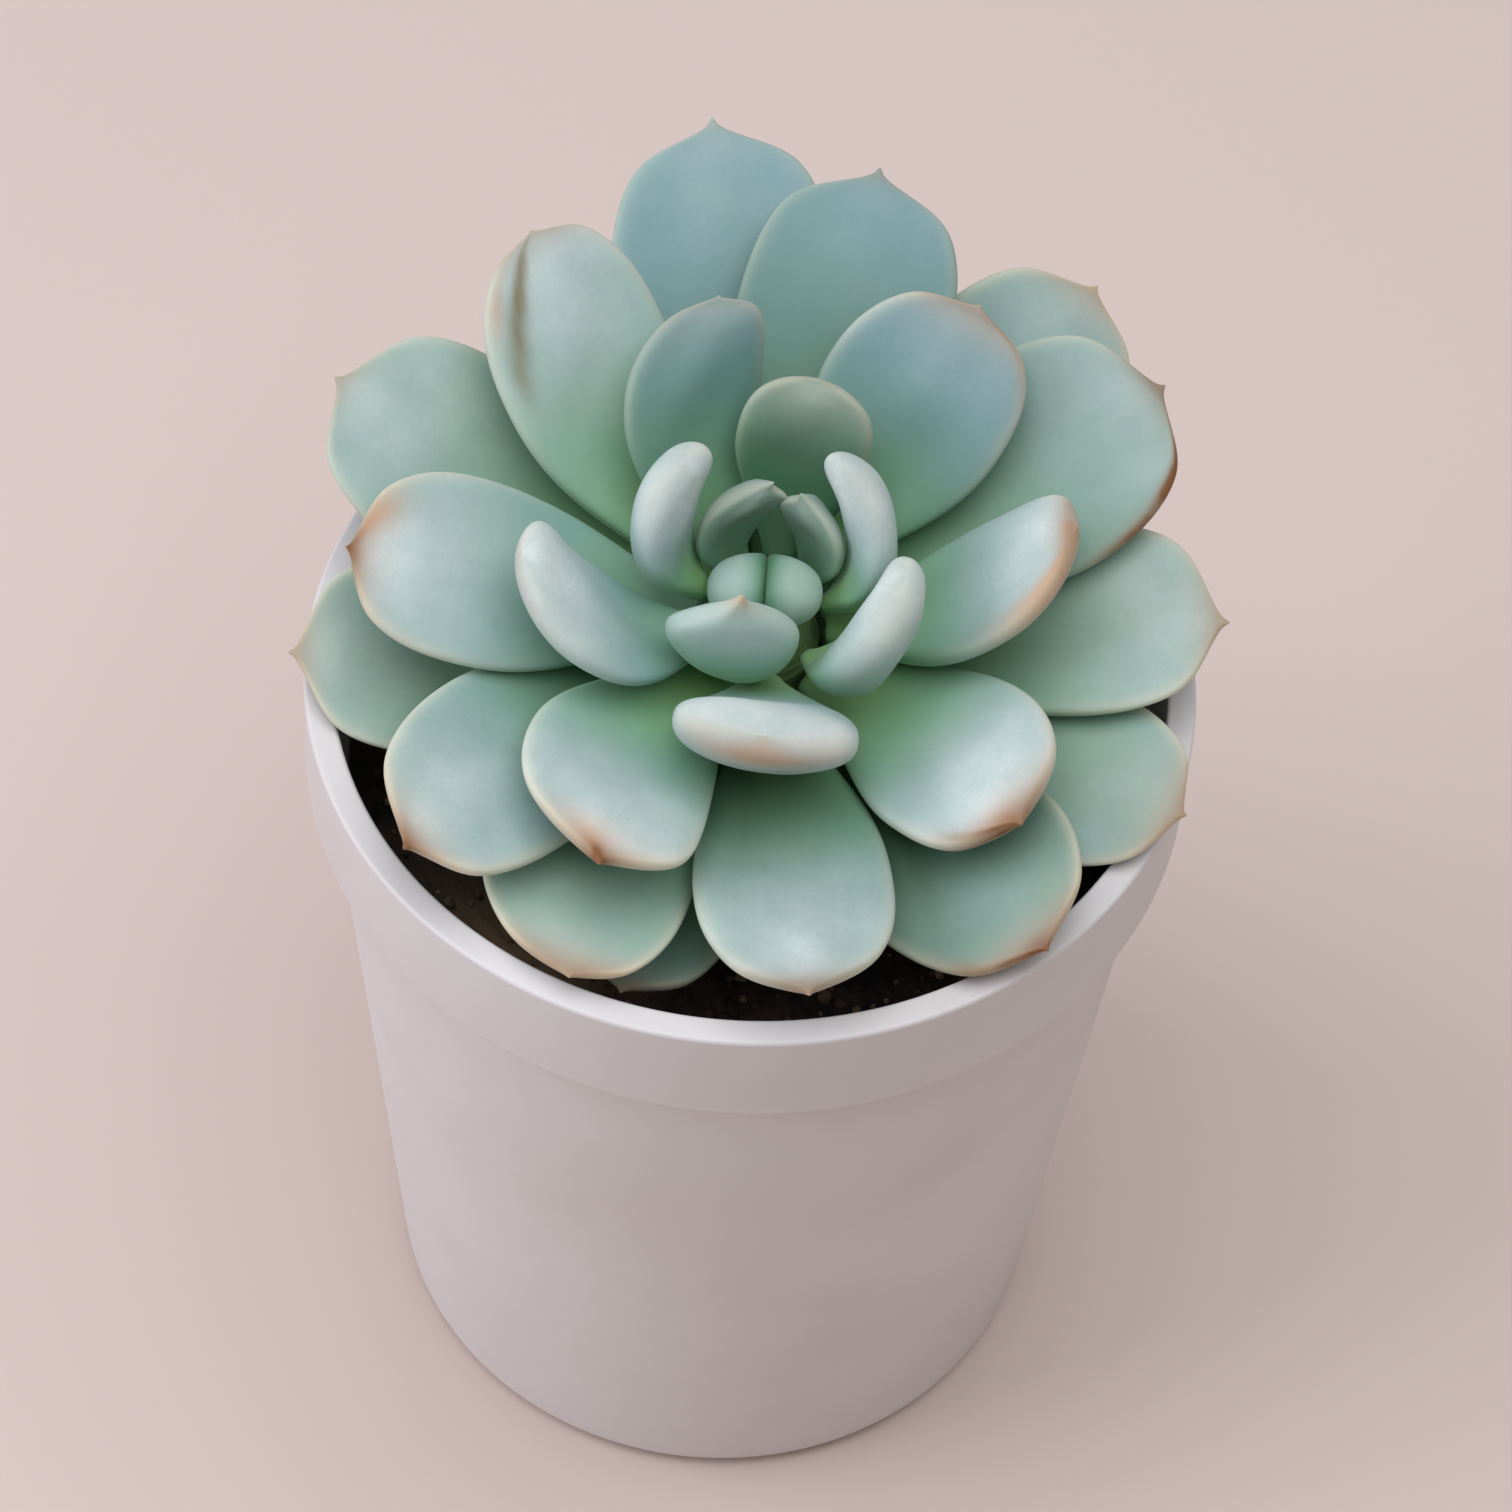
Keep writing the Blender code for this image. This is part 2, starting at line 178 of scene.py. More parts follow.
def mesh_piece(name: str, points: Array, faces: list[Array], finish: Any, sharp: float = 180) -> Any:
    """Makes an object at the origin from arrays.

    Args:
        name: the piece's name.
        points: one row of x, y, z for each point.
        faces: arrays of faces, each with one number of corners.
        finish: its material.
        sharp: degrees between faces above which an edge stays sharp.

    Returns:
        The object, linked to the scene.
    """
    mesh = bpy.data.meshes.new(name)
    corners = np.concatenate([block.reshape(-1) for block in faces])
    counts = np.concatenate([np.full(len(block), block.shape[1]) for block in faces])
    mesh.vertices.add(len(points))
    mesh.vertices.foreach_set("co", points.astype(np.float32).reshape(-1))
    mesh.loops.add(len(corners))
    mesh.loops.foreach_set("vertex_index", corners.astype(np.int32))
    mesh.polygons.add(len(counts))
    mesh.polygons.foreach_set("loop_start", (np.cumsum(counts) - counts).astype(np.int32))
    mesh.polygons.foreach_set("loop_total", counts.astype(np.int32))
    mesh.update(calc_edges=True)
    mesh.validate()
    mesh.shade_smooth()
    if sharp < 180:
        mesh.set_sharp_from_angle(angle=radians(sharp))
    mesh.materials.append(finish)
    piece = bpy.data.objects.new(name, mesh)
    bpy.context.scene.collection.objects.link(piece)
    return piece


def paint(piece: Any, weights: dict[str, Array]) -> None:
    """Stores one number for each point under each name, for the material to read."""
    for name, values in weights.items():
        attribute = piece.data.attributes.new(name, "FLOAT", "POINT")
        attribute.data.foreach_set("value", values.astype(np.float32).reshape(-1))


def lay_fibre(piece: Any, place: Array) -> None:
    """Stores places in mm across and along a leaf, for patterns that run with it."""
    attribute = piece.data.attributes.new("fibre", "FLOAT_VECTOR", "POINT")
    attribute.data.foreach_set("vector", place.astype(np.float32).reshape(-1))


def stand_in(piece: Any, node: str) -> None:
    """The piece rides on the one body and takes the place of a solid."""
    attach(piece, "root")
    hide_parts(node)
    log.info("%s: %d faces, stands for %s", piece.name, len(piece.data.polygons), node)


def arc(centre_r: float, centre_z: float, radius: float, start: float, end: float, steps: int = 8) -> Array:
    """Points (r, z) on an arc between two angles, in degrees from the outward direction."""
    angle = np.radians(np.linspace(start, end, steps + 1))
    return np.stack([centre_r + radius * np.cos(angle), centre_z + radius * np.sin(angle)], 1)


def turned(profile: Array, sides: int) -> Array:
    """Rings of points: a profile (r, z) turned round Z."""
    angle = np.linspace(0, 2 * pi, sides, endpoint=False)
    r, z = profile[:, :1], profile[:, 1:]
    return np.stack([r * np.cos(angle), r * np.sin(angle), z + 0 * angle], 2)


# ---- finishes ----


@dataclass(frozen=True)
class WaxyLeafSkin:
    """Succulent leaf skin: glaucous grey-green flesh under a powdery farina of wax.

    The wax scatters light, so the gloss is low and the pale parts look dusty. Where leaves shade each other a
    darker green is painted in as shade, and the green bases are painted brighter as a glow of light through
    the leaves. The margins are thin and creamy, painted paler as a highlight, and old points are corky brown.
    """

    # the green flesh, painted bright as well to stand for light glowing through and between the leaves
    flesh: str = "#82b170"
    # painted shade: the darker green laid where leaves shade each other
    shaded: str = "#43704f"
    glaucous: str = "#86aa9b"
    blue: str = "#6f9aa3"
    farina: str = "#d3dfdc"
    # the creamy margin, painted paler as well as a highlight on the rounded edge
    cream: str = "#e3dfc6"
    blush: str = "#c6a081"
    scar: str = "#7b7048"
    cork: str = "#83562f"
    powder_mm: float = 6.0
    tinge_mm: float = 16.0
    streak_mm: float = 1.6
    streak_stretch: float = 0.12  # width of a streak as a share of its length
    grain_mm: float = 0.45  # the wax's own grain is far finer; this is as coarse as it needs to show
    pore_mm: float = 0.8

    def build(self) -> Any:
        """Makes the material, which reads a leaf's eight weights and its places along the fibre."""
        made, tree, shader = new_material("Waxy leaf skin", linear(self.glaucous))
        place = add_node(tree, "TexCoord").outputs["Object"]
        weight = {
            name: add_node(tree, "Attribute", {"attribute_name": name}).outputs["Fac"]
            for name in ("core", "painted_shade", "blue", "farina", "margin", "blush", "scar", "cork")
        }
        fibre = add_node(tree, "Attribute", {"attribute_name": "fibre"}).outputs["Vector"]
        streak = (1 / self.streak_mm, self.streak_stretch / self.streak_mm, 1.0)
        drawn_out = add_node(tree, "Mapping", Vector=fibre, Scale=streak)
        streaks = add_node(tree, "TexNoise", Vector=drawn_out, Scale=1.0, Detail=3.0)
        clouds = add_node(tree, "TexNoise", Vector=place, Scale=per_mm(self.powder_mm), Detail=3.0)
        tinge = add_node(tree, "TexNoise", Vector=place, Scale=per_mm(self.tinge_mm), Detail=2.0)
        grain = add_node(tree, "TexNoise", Vector=place, Scale=per_mm(self.grain_mm), Detail=2.0)
        pores = add_node(tree, "TexVoronoi", Vector=place, Scale=per_mm(self.pore_mm))
        patchy = add_node(tree, "MapRange", Value=clouds, _1=0.3, _2=0.7, _3=0.72, _4=1.12)
        dusty = add_node(tree, "MapRange", Value=grain, _1=0.3, _2=0.7, _3=0.9, _4=1.06)
        lined = add_node(tree, "MapRange", Value=streaks, _1=0.3, _2=0.7, _3=0.95, _4=1.05)
        fine = add_node(tree, "Math", TIMES, _0=lined, _1=dusty)
        spread = add_node(tree, "Math", TIMES, _0=patchy, _1=fine)
        wax = add_node(tree, "Math", TIMES, _0=weight["farina"], _1=spread)
        rough_edge = add_node(tree, "MapRange", Value=clouds, _1=0.35, _2=0.65, _3=0.6, _4=1.15)
        corky = add_node(tree, "Math", TIMES_CLAMPED, _0=weight["cork"], _1=rough_edge)
        drift = add_node(tree, "MapRange", Value=tinge, _1=0.35, _2=0.65, _3=-0.22, _4=0.22)
        cool = add_node(tree, "Math", PLUS_CLAMPED, _0=weight["blue"], _1=drift)
        colour = linear(self.glaucous)
        layers = (
            (cool, self.blue),
            # the green base: own colour, painted brighter as glow of light through the leaves too
            (weight["core"], self.flesh),
            # painted shade: darker green where the leaves shade each other
            (weight["painted_shade"], self.shaded),
            (wax, self.farina),
            (weight["blush"], self.blush),
            # the creamy margin, partly painted highlight
            (weight["margin"], self.cream),
            (weight["scar"], self.scar),
            (corky, self.cork),
        )
        for factor, code in layers:
            colour = add_node(tree, "Mix", COLOURS, _0=factor, _6=colour, _7=linear(code)).outputs[2]
        swell = add_node(tree, "Bump", Strength=0.25, Distance=0.35 * MM, Height=clouds)
        fill(
            tree,
            shader,
            Base_Color=colour,
            Roughness=add_node(tree, "MapRange", Value=wax, _1=0.0, _2=1.0, _3=0.44, _4=0.66),
            Normal=add_node(tree, "Bump", Strength=0.12, Distance=0.05 * MM, Height=pores, Normal=swell),
            IOR=1.42,
            Subsurface_Weight=0.35,
            Subsurface_Radius=(0.6, 1.0, 0.4),
            Subsurface_Scale=2.5 * MM,
            Sheen_Weight=0.18,
            Sheen_Roughness=0.45,
        )
        return made


@dataclass(frozen=True)
class MouldedPlastic:
    """Satin white polypropylene, injection moulded: even and soft-looking, with a faint mould grain."""

    body: str = "#dedad9"
    dusty: str = "#cfc5be"
    grain_mm: float = 0.5
    drift_mm: float = 30.0

    def build(self) -> Any:
        """Makes the material."""
        made, tree, shader = new_material("Satin moulded polypropylene", linear(self.body))
        place = add_node(tree, "TexCoord").outputs["Object"]
        drift = add_node(tree, "TexNoise", Vector=place, Scale=per_mm(self.drift_mm), Detail=4.0)
        grain = add_node(tree, "TexNoise", Vector=place, Scale=per_mm(self.grain_mm), Detail=2.0)
        dust = add_node(tree, "MapRange", Value=drift, _1=0.45, _2=0.75, _3=0.0, _4=0.35)
        colour = add_node(tree, "Mix", COLOURS, _0=dust, _6=linear(self.body), _7=linear(self.dusty))
        fill(
            tree,
            shader,
            Base_Color=colour.outputs[2],
            Roughness=add_node(tree, "MapRange", Value=drift, _1=0.3, _2=0.7, _3=0.36, _4=0.48),
            Normal=add_node(tree, "Bump", Strength=0.12, Distance=0.04 * MM, Height=grain),
            IOR=1.49,
            Subsurface_Weight=0.08,
            Subsurface_Radius=(1.0, 0.9, 0.85),
            Subsurface_Scale=1.2 * MM,
        )
        return made


@dataclass(frozen=True)
class PottingSoil:
    """Moist peat potting soil: nearly black between the crumbs, brown on them, with a few pale fibres and a
    painted pool of light.
    """

    deep: str = "#0d0907"
    crumb: str = "#35261b"
    # pale fibres, and the paler painted pool of light
    pale_fibre_and_painted_light: str = "#a08468"
    clod_mm: float = 3.0
    crumb_mm: float = 0.7

    def build(self) -> Any:
        """Makes the material, which reads one weight for pale fibres and a painted pool of light on the soil.
        """
        made, tree, shader = new_material("Peat potting soil", linear(self.crumb))
        place = add_node(tree, "TexCoord").outputs["Object"]
        pale_fibre_and_painted_light = add_node(tree, "Attribute", {"attribute_name": "pale_fibre_and_painted_light"}).outputs["Fac"]
        clods = add_node(tree, "TexNoise", Vector=place, Scale=per_mm(self.clod_mm), Detail=5.0)
        crumbs = add_node(tree, "TexVoronoi", Vector=place, Scale=per_mm(self.crumb_mm))
        shade = add_node(tree, "MapRange", Value=clods, _1=0.35, _2=0.65, _3=0.0, _4=1.0)
        earth = add_node(tree, "Mix", COLOURS, _0=shade, _6=linear(self.deep), _7=linear(self.crumb))
        colour = add_node(tree, "Mix", COLOURS, _0=pale_fibre_and_painted_light, _6=earth.outputs[2], _7=linear(self.pale_fibre_and_painted_light))
        rough = add_node(tree, "Bump", Strength=0.8, Distance=0.5 * MM, Height=clods)
        fine = add_node(tree, "Bump", Strength=0.6, Distance=0.25 * MM, Height=crumbs, Normal=rough)
        fill(tree, shader, Base_Color=colour.outputs[2], Normal=fine, Roughness=0.92)
        return made


@dataclass(frozen=True)
class StemBark:
    """Green succulent stem: smooth and fleshy above, corky and brown towards the soil."""

    green: str = "#6f8a58"
    cork: str = "#6b5138"
    patch_mm: float = 2.0

    def build(self) -> Any:
        """Makes the material, which reads the weight cork."""
        made, tree, shader = new_material("Fleshy stem skin", linear(self.green))
        place = add_node(tree, "TexCoord").outputs["Object"]
        cork = add_node(tree, "Attribute", {"attribute_name": "cork"}).outputs["Fac"]
        patches = add_node(tree, "TexNoise", Vector=place, Scale=per_mm(self.patch_mm), Detail=4.0)
        spread = add_node(tree, "MapRange", Value=patches, _1=0.3, _2=0.7, _3=0.3, _4=1.3)
        corky = add_node(tree, "Math", TIMES_CLAMPED, _0=cork, _1=spread)
        colour = add_node(tree, "Mix", COLOURS, _0=corky, _6=linear(self.green), _7=linear(self.cork))
        bump = add_node(tree, "Bump", Strength=0.4, Distance=0.2 * MM, Height=patches)
        fill(tree, shader, Base_Color=colour.outputs[2], Normal=bump, Roughness=0.6)
        return made


# ---- the rosette ----


class Face(Enum):
    """Which side of a leaf a mark is on."""

    UPPER = 1
    UNDER = -1
    BOTH = 0


class Tone(Enum):
    """What a mark on a leaf looks like: the weight that it adds to."""

    CORK = "cork"
    BLUSH = "blush"
    SCAR = "scar"


@dataclass(frozen=True)
class Mark:
    """A soft-edged patch on a leaf, placed by shares of its length and of its half-width."""

    along: float
    across: float
    long: float  # half its length, as a share of the leaf's
    wide: float  # half its width, as a share of half the leaf's width
    strength: float
    tone: Tone = Tone.CORK
    face: Face = Face.BOTH

    def weight(self, along: Array, across: Array, top: Array) -> Array:
        """A bell of the distance from its middle, on its own face only."""
        patch = np.exp(-(((along - self.along) / self.long) ** 2) - ((across - self.across) / self.wide) ** 2)
        if self.face is Face.BOTH:
            return self.strength * patch
        return self.strength * patch * smoothstep(-0.15, 0.15, top * self.face.value)


@dataclass(frozen=True)
class Stem:
    """The short stem that the leaves grow on, in rosette coordinates."""

    radius: float = 5.8 * MM
    depth: float = 5.5 * MM  # of its foot in the soil
    cap: float = 1.0 * MM
    foot: tuple = ((0, 0.35), (3, 0.75))  # height above its foot in mm, share of the radius
    profile: tuple = ((-1, 0.95), (4, 1.0), (14, 1.0), (18, 0.8), (19.5, 0.65))  # height up it in mm, share
    pole_share: float = 0.02  # radius of the last ring at each end, as a share
    scar_mm: float = 2.4  # between the rings where old leaves grew
    scar_depth: float = 0.035  # share of the radius
    sides: int = 64
    rings: int = 90

    def radius_at(self, height: float) -> float:
        """Radius at a height up the stem, both in metres."""
        rows = np.array(self.profile)
        return self.radius * float(np.interp(height, rows[:, 0] * MM, rows[:, 1]))

    def build(self, seat: "Seat", soil_level: float, finish: Any) -> None:
        """Makes the stem.

        The radius follows the profile, less a shallow groove every scar_mm that climbs round the stem.

        Args:
            seat: where the rosette stands.
            soil_level: height of the soil at the wall.
            finish: the stem's material.
        """
        foot = (soil_level - self.depth - seat.place.z) / cos(radians(seat.lean))
        rows = [(foot + height * MM, share) for height, share in self.foot]
        rows += [(height * MM, share) for height, share in self.profile]
        ends = (foot - self.cap, self.pole_share), (rows[-1][0] + self.cap, self.pole_share)
        rows = np.array([ends[0], *rows, ends[1]])
        height = np.linspace(rows[0, 0], rows[-1, 0], self.rings)[:, None]
        angle = np.linspace(0, 2 * pi, self.sides, endpoint=False)[None, :]
        groove = np.cos(2 * pi * height / (self.scar_mm * MM) + angle) ** 8
        radius = self.radius * np.interp(height, rows[:, 0], rows[:, 1]) * (1 - self.scar_depth * groove)
        points = np.stack([radius * np.cos(angle), radius * np.sin(angle), height + 0 * angle], 2)
        cloud, faces = closed_tube(points, (0, 0, height[0, 0]), (0, 0, height[-1, 0]))
        piece = mesh_piece("stem_flesh", seat.to_world(cloud), faces, finish)
        paint(piece, {"cork": 1 - smoothstep(-3 * MM, 9 * MM, cloud[:, 2])})
        stand_in(piece, "stem")


@dataclass(frozen=True)
class Seat:
    """Where the rosette stands and how far its stem leans to the front."""

    place: Vector
    lean: float = 12.0

    @classmethod
    def from_frame(cls) -> "Seat":
        """Reads the height of the rosette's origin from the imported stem, whose top face tilts with it."""
        lean = radians(cls.lean)
        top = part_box("stem")[1].z - (Stem.profile[-1][0] * MM + Stem.cap) * cos(lean)
        return cls(place=Vector((0.8 * MM, 5.2 * MM, top)))

    def to_world(self, points: Array) -> Array:
        """Takes rosette coordinates, with the stem along Z, to the object's."""
        turn = np.array(Matrix.Rotation(radians(self.lean), 3, "X"))
        return points @ turn.T + np.array(self.place)


@dataclass(frozen=True)
class Blade:
    """One leaf: an arc from its seat on the stem to its tip, with a fleshy section carried along it.

    Lengths are in mm and angles in degrees, as on its solid.
    """

    name: str
    azimuth: float
    seat: float
    reach: float
    tip: float
    width: float
    thickness: float = 4.6
    arch: float = 16
    cup: float = 0.14
    roll: float = 0
    sway: float = 0
    cusp: float = 1.5  # distance from the tip over which the blade draws in to its point
    nub: float = 0.65  # radius of the little corky point
    plump: float = 0.0  # 1 for a finger-like leaf with a rounded rim
    square: float = 0.0  # how much painted shade darkens it, most towards the base
    painted_shade: float = 0.0  # how much dark flesh shows where the wax is thin
    blue: float = 0.35  # how blue its wax is
    farina: float = 0.7  # how much wax shows towards the tip
    core: float = 0.95  # how green its base is: its own flesh, painted brighter too as a glow of light through the leaves
    core_length: float = 0.8  # share of the length over which that fades
    warm: float = 0.35  # how creamy its margin is
    cork: float = 0.5  # how brown its point is
    marks: tuple = ()
    foot: float = 0.22  # width of its base, as a share of the width

    RINGS: ClassVar[int] = 84
    SIDES: ClassVar[int] = 60
    WIDEST: ClassVar[float] = 0.64  # share of the blade's length from its base to its widest place
    BASE_THICKNESS: ClassVar[float] = 0.62  # share of the thickness that its base has
    TOP_SHARE: ClassVar[float] = 0.36  # of the thickness above its middle surface, at the base
    CHANNEL: ClassVar[float] = 0.25  # mm, down the upper face near the base
    SWELLING: ClassVar[float] = 0.55  # mm, down the upper face towards the tip
    KEEL: ClassVar[float] = 0.3  # mm, down the lower face
    WAVE: ClassVar[float] = 0.11  # mm, of the slow waves on both faces
    EDGE_WAVE: ClassVar[float] = 0.012  # share of the half-width
    MARGIN: ClassVar[float] = 1.3  # mm, width of the creamy margin, painted paler as a highlight where it catches the light
    POINT: ClassVar[float] = 1.6  # mm, length of the corky point
    BLUSH_TIP: ClassVar[float] = 3.2  # mm, how far the blush reaches from the tip
    BLUSH_EDGE: ClassVar[float] = 1.8  # mm, how far it reaches in from the margin

    def arc(self, stem: Stem) -> tuple[float, float, float]:
        """Its base radius, first slope in radians and length, for an arc that ends at its tip, in mm."""
        bend = radians(self.arch)
        bark = stem.radius_at((self.seat - self.thickness / 2) * MM) / MM + GAP / MM
        base, slope = bark, 0.0
        for _ in range(6):
            slope = atan2(self.tip - self.seat, self.reach - base) - bend / 2
            underside = self.thickness * self.BASE_THICKNESS * (1 - self.TOP_SHARE)
            base = bark + underside * max(0.0, sin(slope))
        chord = hypot(self.reach - base, self.tip - self.seat)
        return base, slope, chord * (bend / 2) / sin(bend / 2)

    def spine(self, stem: Stem, along: Array) -> tuple[Array, Array, Array]:
        """Points down its middle, and the sideways and upward directions there, in rosette coordinates."""
        base, slope, length = self.arc(stem)
        bend = radians(self.arch)
        tilt = slope + bend * along
        r = base + length * (np.sin(tilt) - sin(slope)) / bend
        z = self.seat - length * (np.cos(tilt) - cos(slope)) / bend
        turn = radians(self.azimuth) + radians(self.sway) * (along**2 - 1)
        level = np.zeros_like(turn)
        out = np.stack([np.cos(turn), np.sin(turn), level], 1)
        side = np.stack([-np.sin(turn), np.cos(turn), level], 1)
        upright = np.array([0.0, 0.0, 1.0])
        tangent = out * np.cos(tilt)[:, None] + upright * np.sin(tilt)[:, None]
        up = np.cross(tangent, side)
        roll = (radians(self.roll) * along)[:, None]
        points = (out * r[:, None] + upright * z[:, None]) * MM
        return points, side * np.cos(roll) + up * np.sin(roll), up * np.cos(roll) - side * np.sin(roll)

    def outline(self, along: Array, length: float) -> tuple[Array, Array]:
        """Half-width and thickness along it, in mm.

        The half-width swells from the base as a sine to the widest place, then closes as a round end. Near
        the tip both are drawn in by one less an exponential of the distance to it, which leaves a soft point.
        """
        rise = np.sin(np.clip(along / self.WIDEST, 0, 1) * pi / 2) ** 1.3
        swell = self.foot + (1 - self.foot) * rise
        beyond = np.clip((along - self.WIDEST) / (1 - self.WIDEST), 0, 1)
        blunt = 2.4 + 1.4 * self.plump + 2.0 * self.square
        nub = self.nub * np.clip((1 - along) * length / (2.2 * self.nub + 0.01), 0, 1) ** 0.6
        drawn = 1 - np.exp(-(((1 - along) * length / max(self.cusp, 0.01)) ** 1.8))
        half = np.hypot(self.width / 2 * swell * (1 - beyond**blunt) ** 0.5 * drawn, nub)
        full = self.BASE_THICKNESS + (1 - self.BASE_THICKNESS) * np.sin(np.clip(along / 0.5, 0, 1) * pi / 2)
        thick = self.thickness * full * (1 - along ** (5 + 7 * self.plump)) ** 0.5 * drawn**0.8
        return half, np.hypot(thick, 2 * nub)

    def build(self, stem: Stem, seat: Seat, finish: Any) -> None:
        """Makes the leaf.

        Round the section, the sideways place is a power of the cosine, and the height is the thickness
        above or below the middle surface times a power of the sine, plus a cup that lifts both margins.
        Down the upper face a shallow channel turns into a low swelling towards the tip, down the lower one
        runs a low keel near the tip, and three slow waves keep both from being perfectly even.

        Args:
            stem: the stem it grows on.
            seat: where the rosette stands.
            finish: the leaf's material.
        """
        rng = np.random.default_rng(int(self.azimuth * 10 + self.seat * 7))
        length = self.arc(stem)[2]
        along = np.sin(np.linspace(0, pi / 2, self.RINGS + 1))
        points, side, up = self.spine(stem, along)
        half, full = (value[:, None] for value in self.outline(along, length))
        angle = np.linspace(0, 2 * pi, self.SIDES, endpoint=False)[None, :]
        run = along[:, None]
        plump = self.plump * smoothstep(0.2, 0.8, run)
        across = power(np.cos(angle), 0.9 + 0.1 * self.plump - 0.12 * self.square)
        fullness = 0.85 + 0.1 * self.plump - 0.15 * self.square
        share = self.TOP_SHARE + 0.13 * smoothstep(0.3, 0.7, run) + 0.05 * plump
        above = share * np.clip(np.sin(angle), 0, 1) ** fullness
        below = (1 - share) * np.clip(-np.sin(angle), 0, 1) ** fullness
        facing = np.sin(angle) + 0 * run
        ends = smoothstep(0.0, 0.25, run) * smoothstep(0.0, 0.12, 1 - run)
        body = np.clip(full / self.thickness, 0, 1) * ends
        outer = smoothstep(0.5, 0.8, run)
        middle = bell(across, 0.38) * np.clip(facing, 0, 1)
        channel = (self.CHANNEL * (1 - outer) - self.SWELLING * outer) * middle * body
        spine = bell(across, 0.22) * np.clip(-facing, 0, 1)
        keel = self.KEEL * spine * smoothstep(0.5, 0.9, run) * body
        phase = rng.uniform(0, 2 * pi, 4)
        waves = np.sin(5 * run + 2.2 * across + phase[0]) + 0.6 * np.sin(9 * run - 3.1 * across + phase[1])
        waves = self.WAVE * (waves + 0.4 * np.sin(14 * run + 5 * across + phase[2])) * body
        edge = 1 + self.EDGE_WAVE * np.sin(11 * run + phase[3] + 2 * across) * body
        cup = self.cup * (1 - 0.5 * plump)
        height = full * (above - below) + cup * half * across**2 - (channel + keel) * (1 - self.plump)
        height = height + waves * np.sign(facing) * np.abs(facing) ** 0.5
        spread = (half * edge * across * MM)[:, :, None] * side[:, None, :]
        surface = points[:, None, :] + spread + (height * MM)[:, :, None] * up[:, None, :]
        cloud, faces = closed_tube(surface[:-1], surface[0].mean(0), points[-1])
        piece = mesh_piece("skin_" + self.name, seat.to_world(cloud), faces, finish)
        across = (across + 0 * run)[:-1]
        looks = self.looks(run[:-1], across, facing[:-1], half[:-1], length)
        paint(piece, {name: np.append(value, [value[0, 0], value[-1, 0]]) for name, value in looks.items()})
        fibre = np.stack([across * half[:-1], run[:-1] * length + 0 * across, 0 * across + self.azimuth], 2)
        lay_fibre(piece, np.concatenate([fibre.reshape(-1, 3), fibre[0, :1], fibre[-1, :1]]))
        stand_in(piece, "leaf_" + self.name)

    def looks(self, along: Array, across: Array, top: Array, half: Array, length: float) -> dict[str, Array]:
        """Weights of the finish over the leaf.

        Args:
            along: share of its length, one column.
            across: share of the half-width, from -1 to 1, on the grid.
            top: 1 in the middle of the upper face, -1 in the middle of the lower one.
            half: half-width in mm, one column.
            length: of the leaf, in mm.

        Returns:
            The weights by name, each on the grid.
        """
        from_edge = (1 - np.abs(across)) * half + np.abs(top) * 1.2
        from_tip = (1 - along) * length + 0 * across
        middle = bell(across, 0.55)
        # the green base: the leaf's own colour, painted brighter as well as a glow of light through and
        # between the leaves
        core = self.core * (1 - smoothstep(0.05, self.core_length, along)) * (0.85 + 0.25 * middle)
        powder = 0.7 + 0.35 * middle * (top > 0) + 0.2 * across**4
        farina = self.farina * smoothstep(0.35, 0.95, along) * powder
        rim = bell(from_edge, self.MARGIN) * smoothstep(0.3, 0.8, along)
        point = bell(from_tip, self.POINT)
        # the creamy margin, painted pale as well as a highlight on the rounded edge
        margin = (0.22 + 0.3 * self.warm) * rim * (1 - 0.75 * self.plump)
        at_tip = 0.75 * bell(from_tip, self.BLUSH_TIP)
        at_edge = 0.5 * bell(from_edge, self.BLUSH_EDGE) * along**5
        blush = self.warm * (1 - 0.6 * self.plump) * (at_tip + at_edge)
        weights = {
            "core": core,
            "blue": self.blue + 0 * across,
            "farina": farina,
            "margin": margin,
            "blush": blush,
            "cork": self.cork * point,
            # painted shade: darker green flesh, strongest towards the base where the leaves shade each other
            "painted_shade": self.painted_shade * (1 - 0.6 * smoothstep(0.6, 1.0, along)) + 0 * across,
            "scar": np.zeros_like(across),
        }
        for mark in self.marks:
            weights[mark.tone.value] = weights[mark.tone.value] + mark.weight(along, across, top)
        return {name: np.clip(value, 0, 1) for name, value in weights.items()}


# What the upright leaves of the inner ring share: round ends with no point, and all their wax
FINGER = {"cusp": 0, "nub": 0, "plump": 1, "farina": 1.0, "cork": 0}

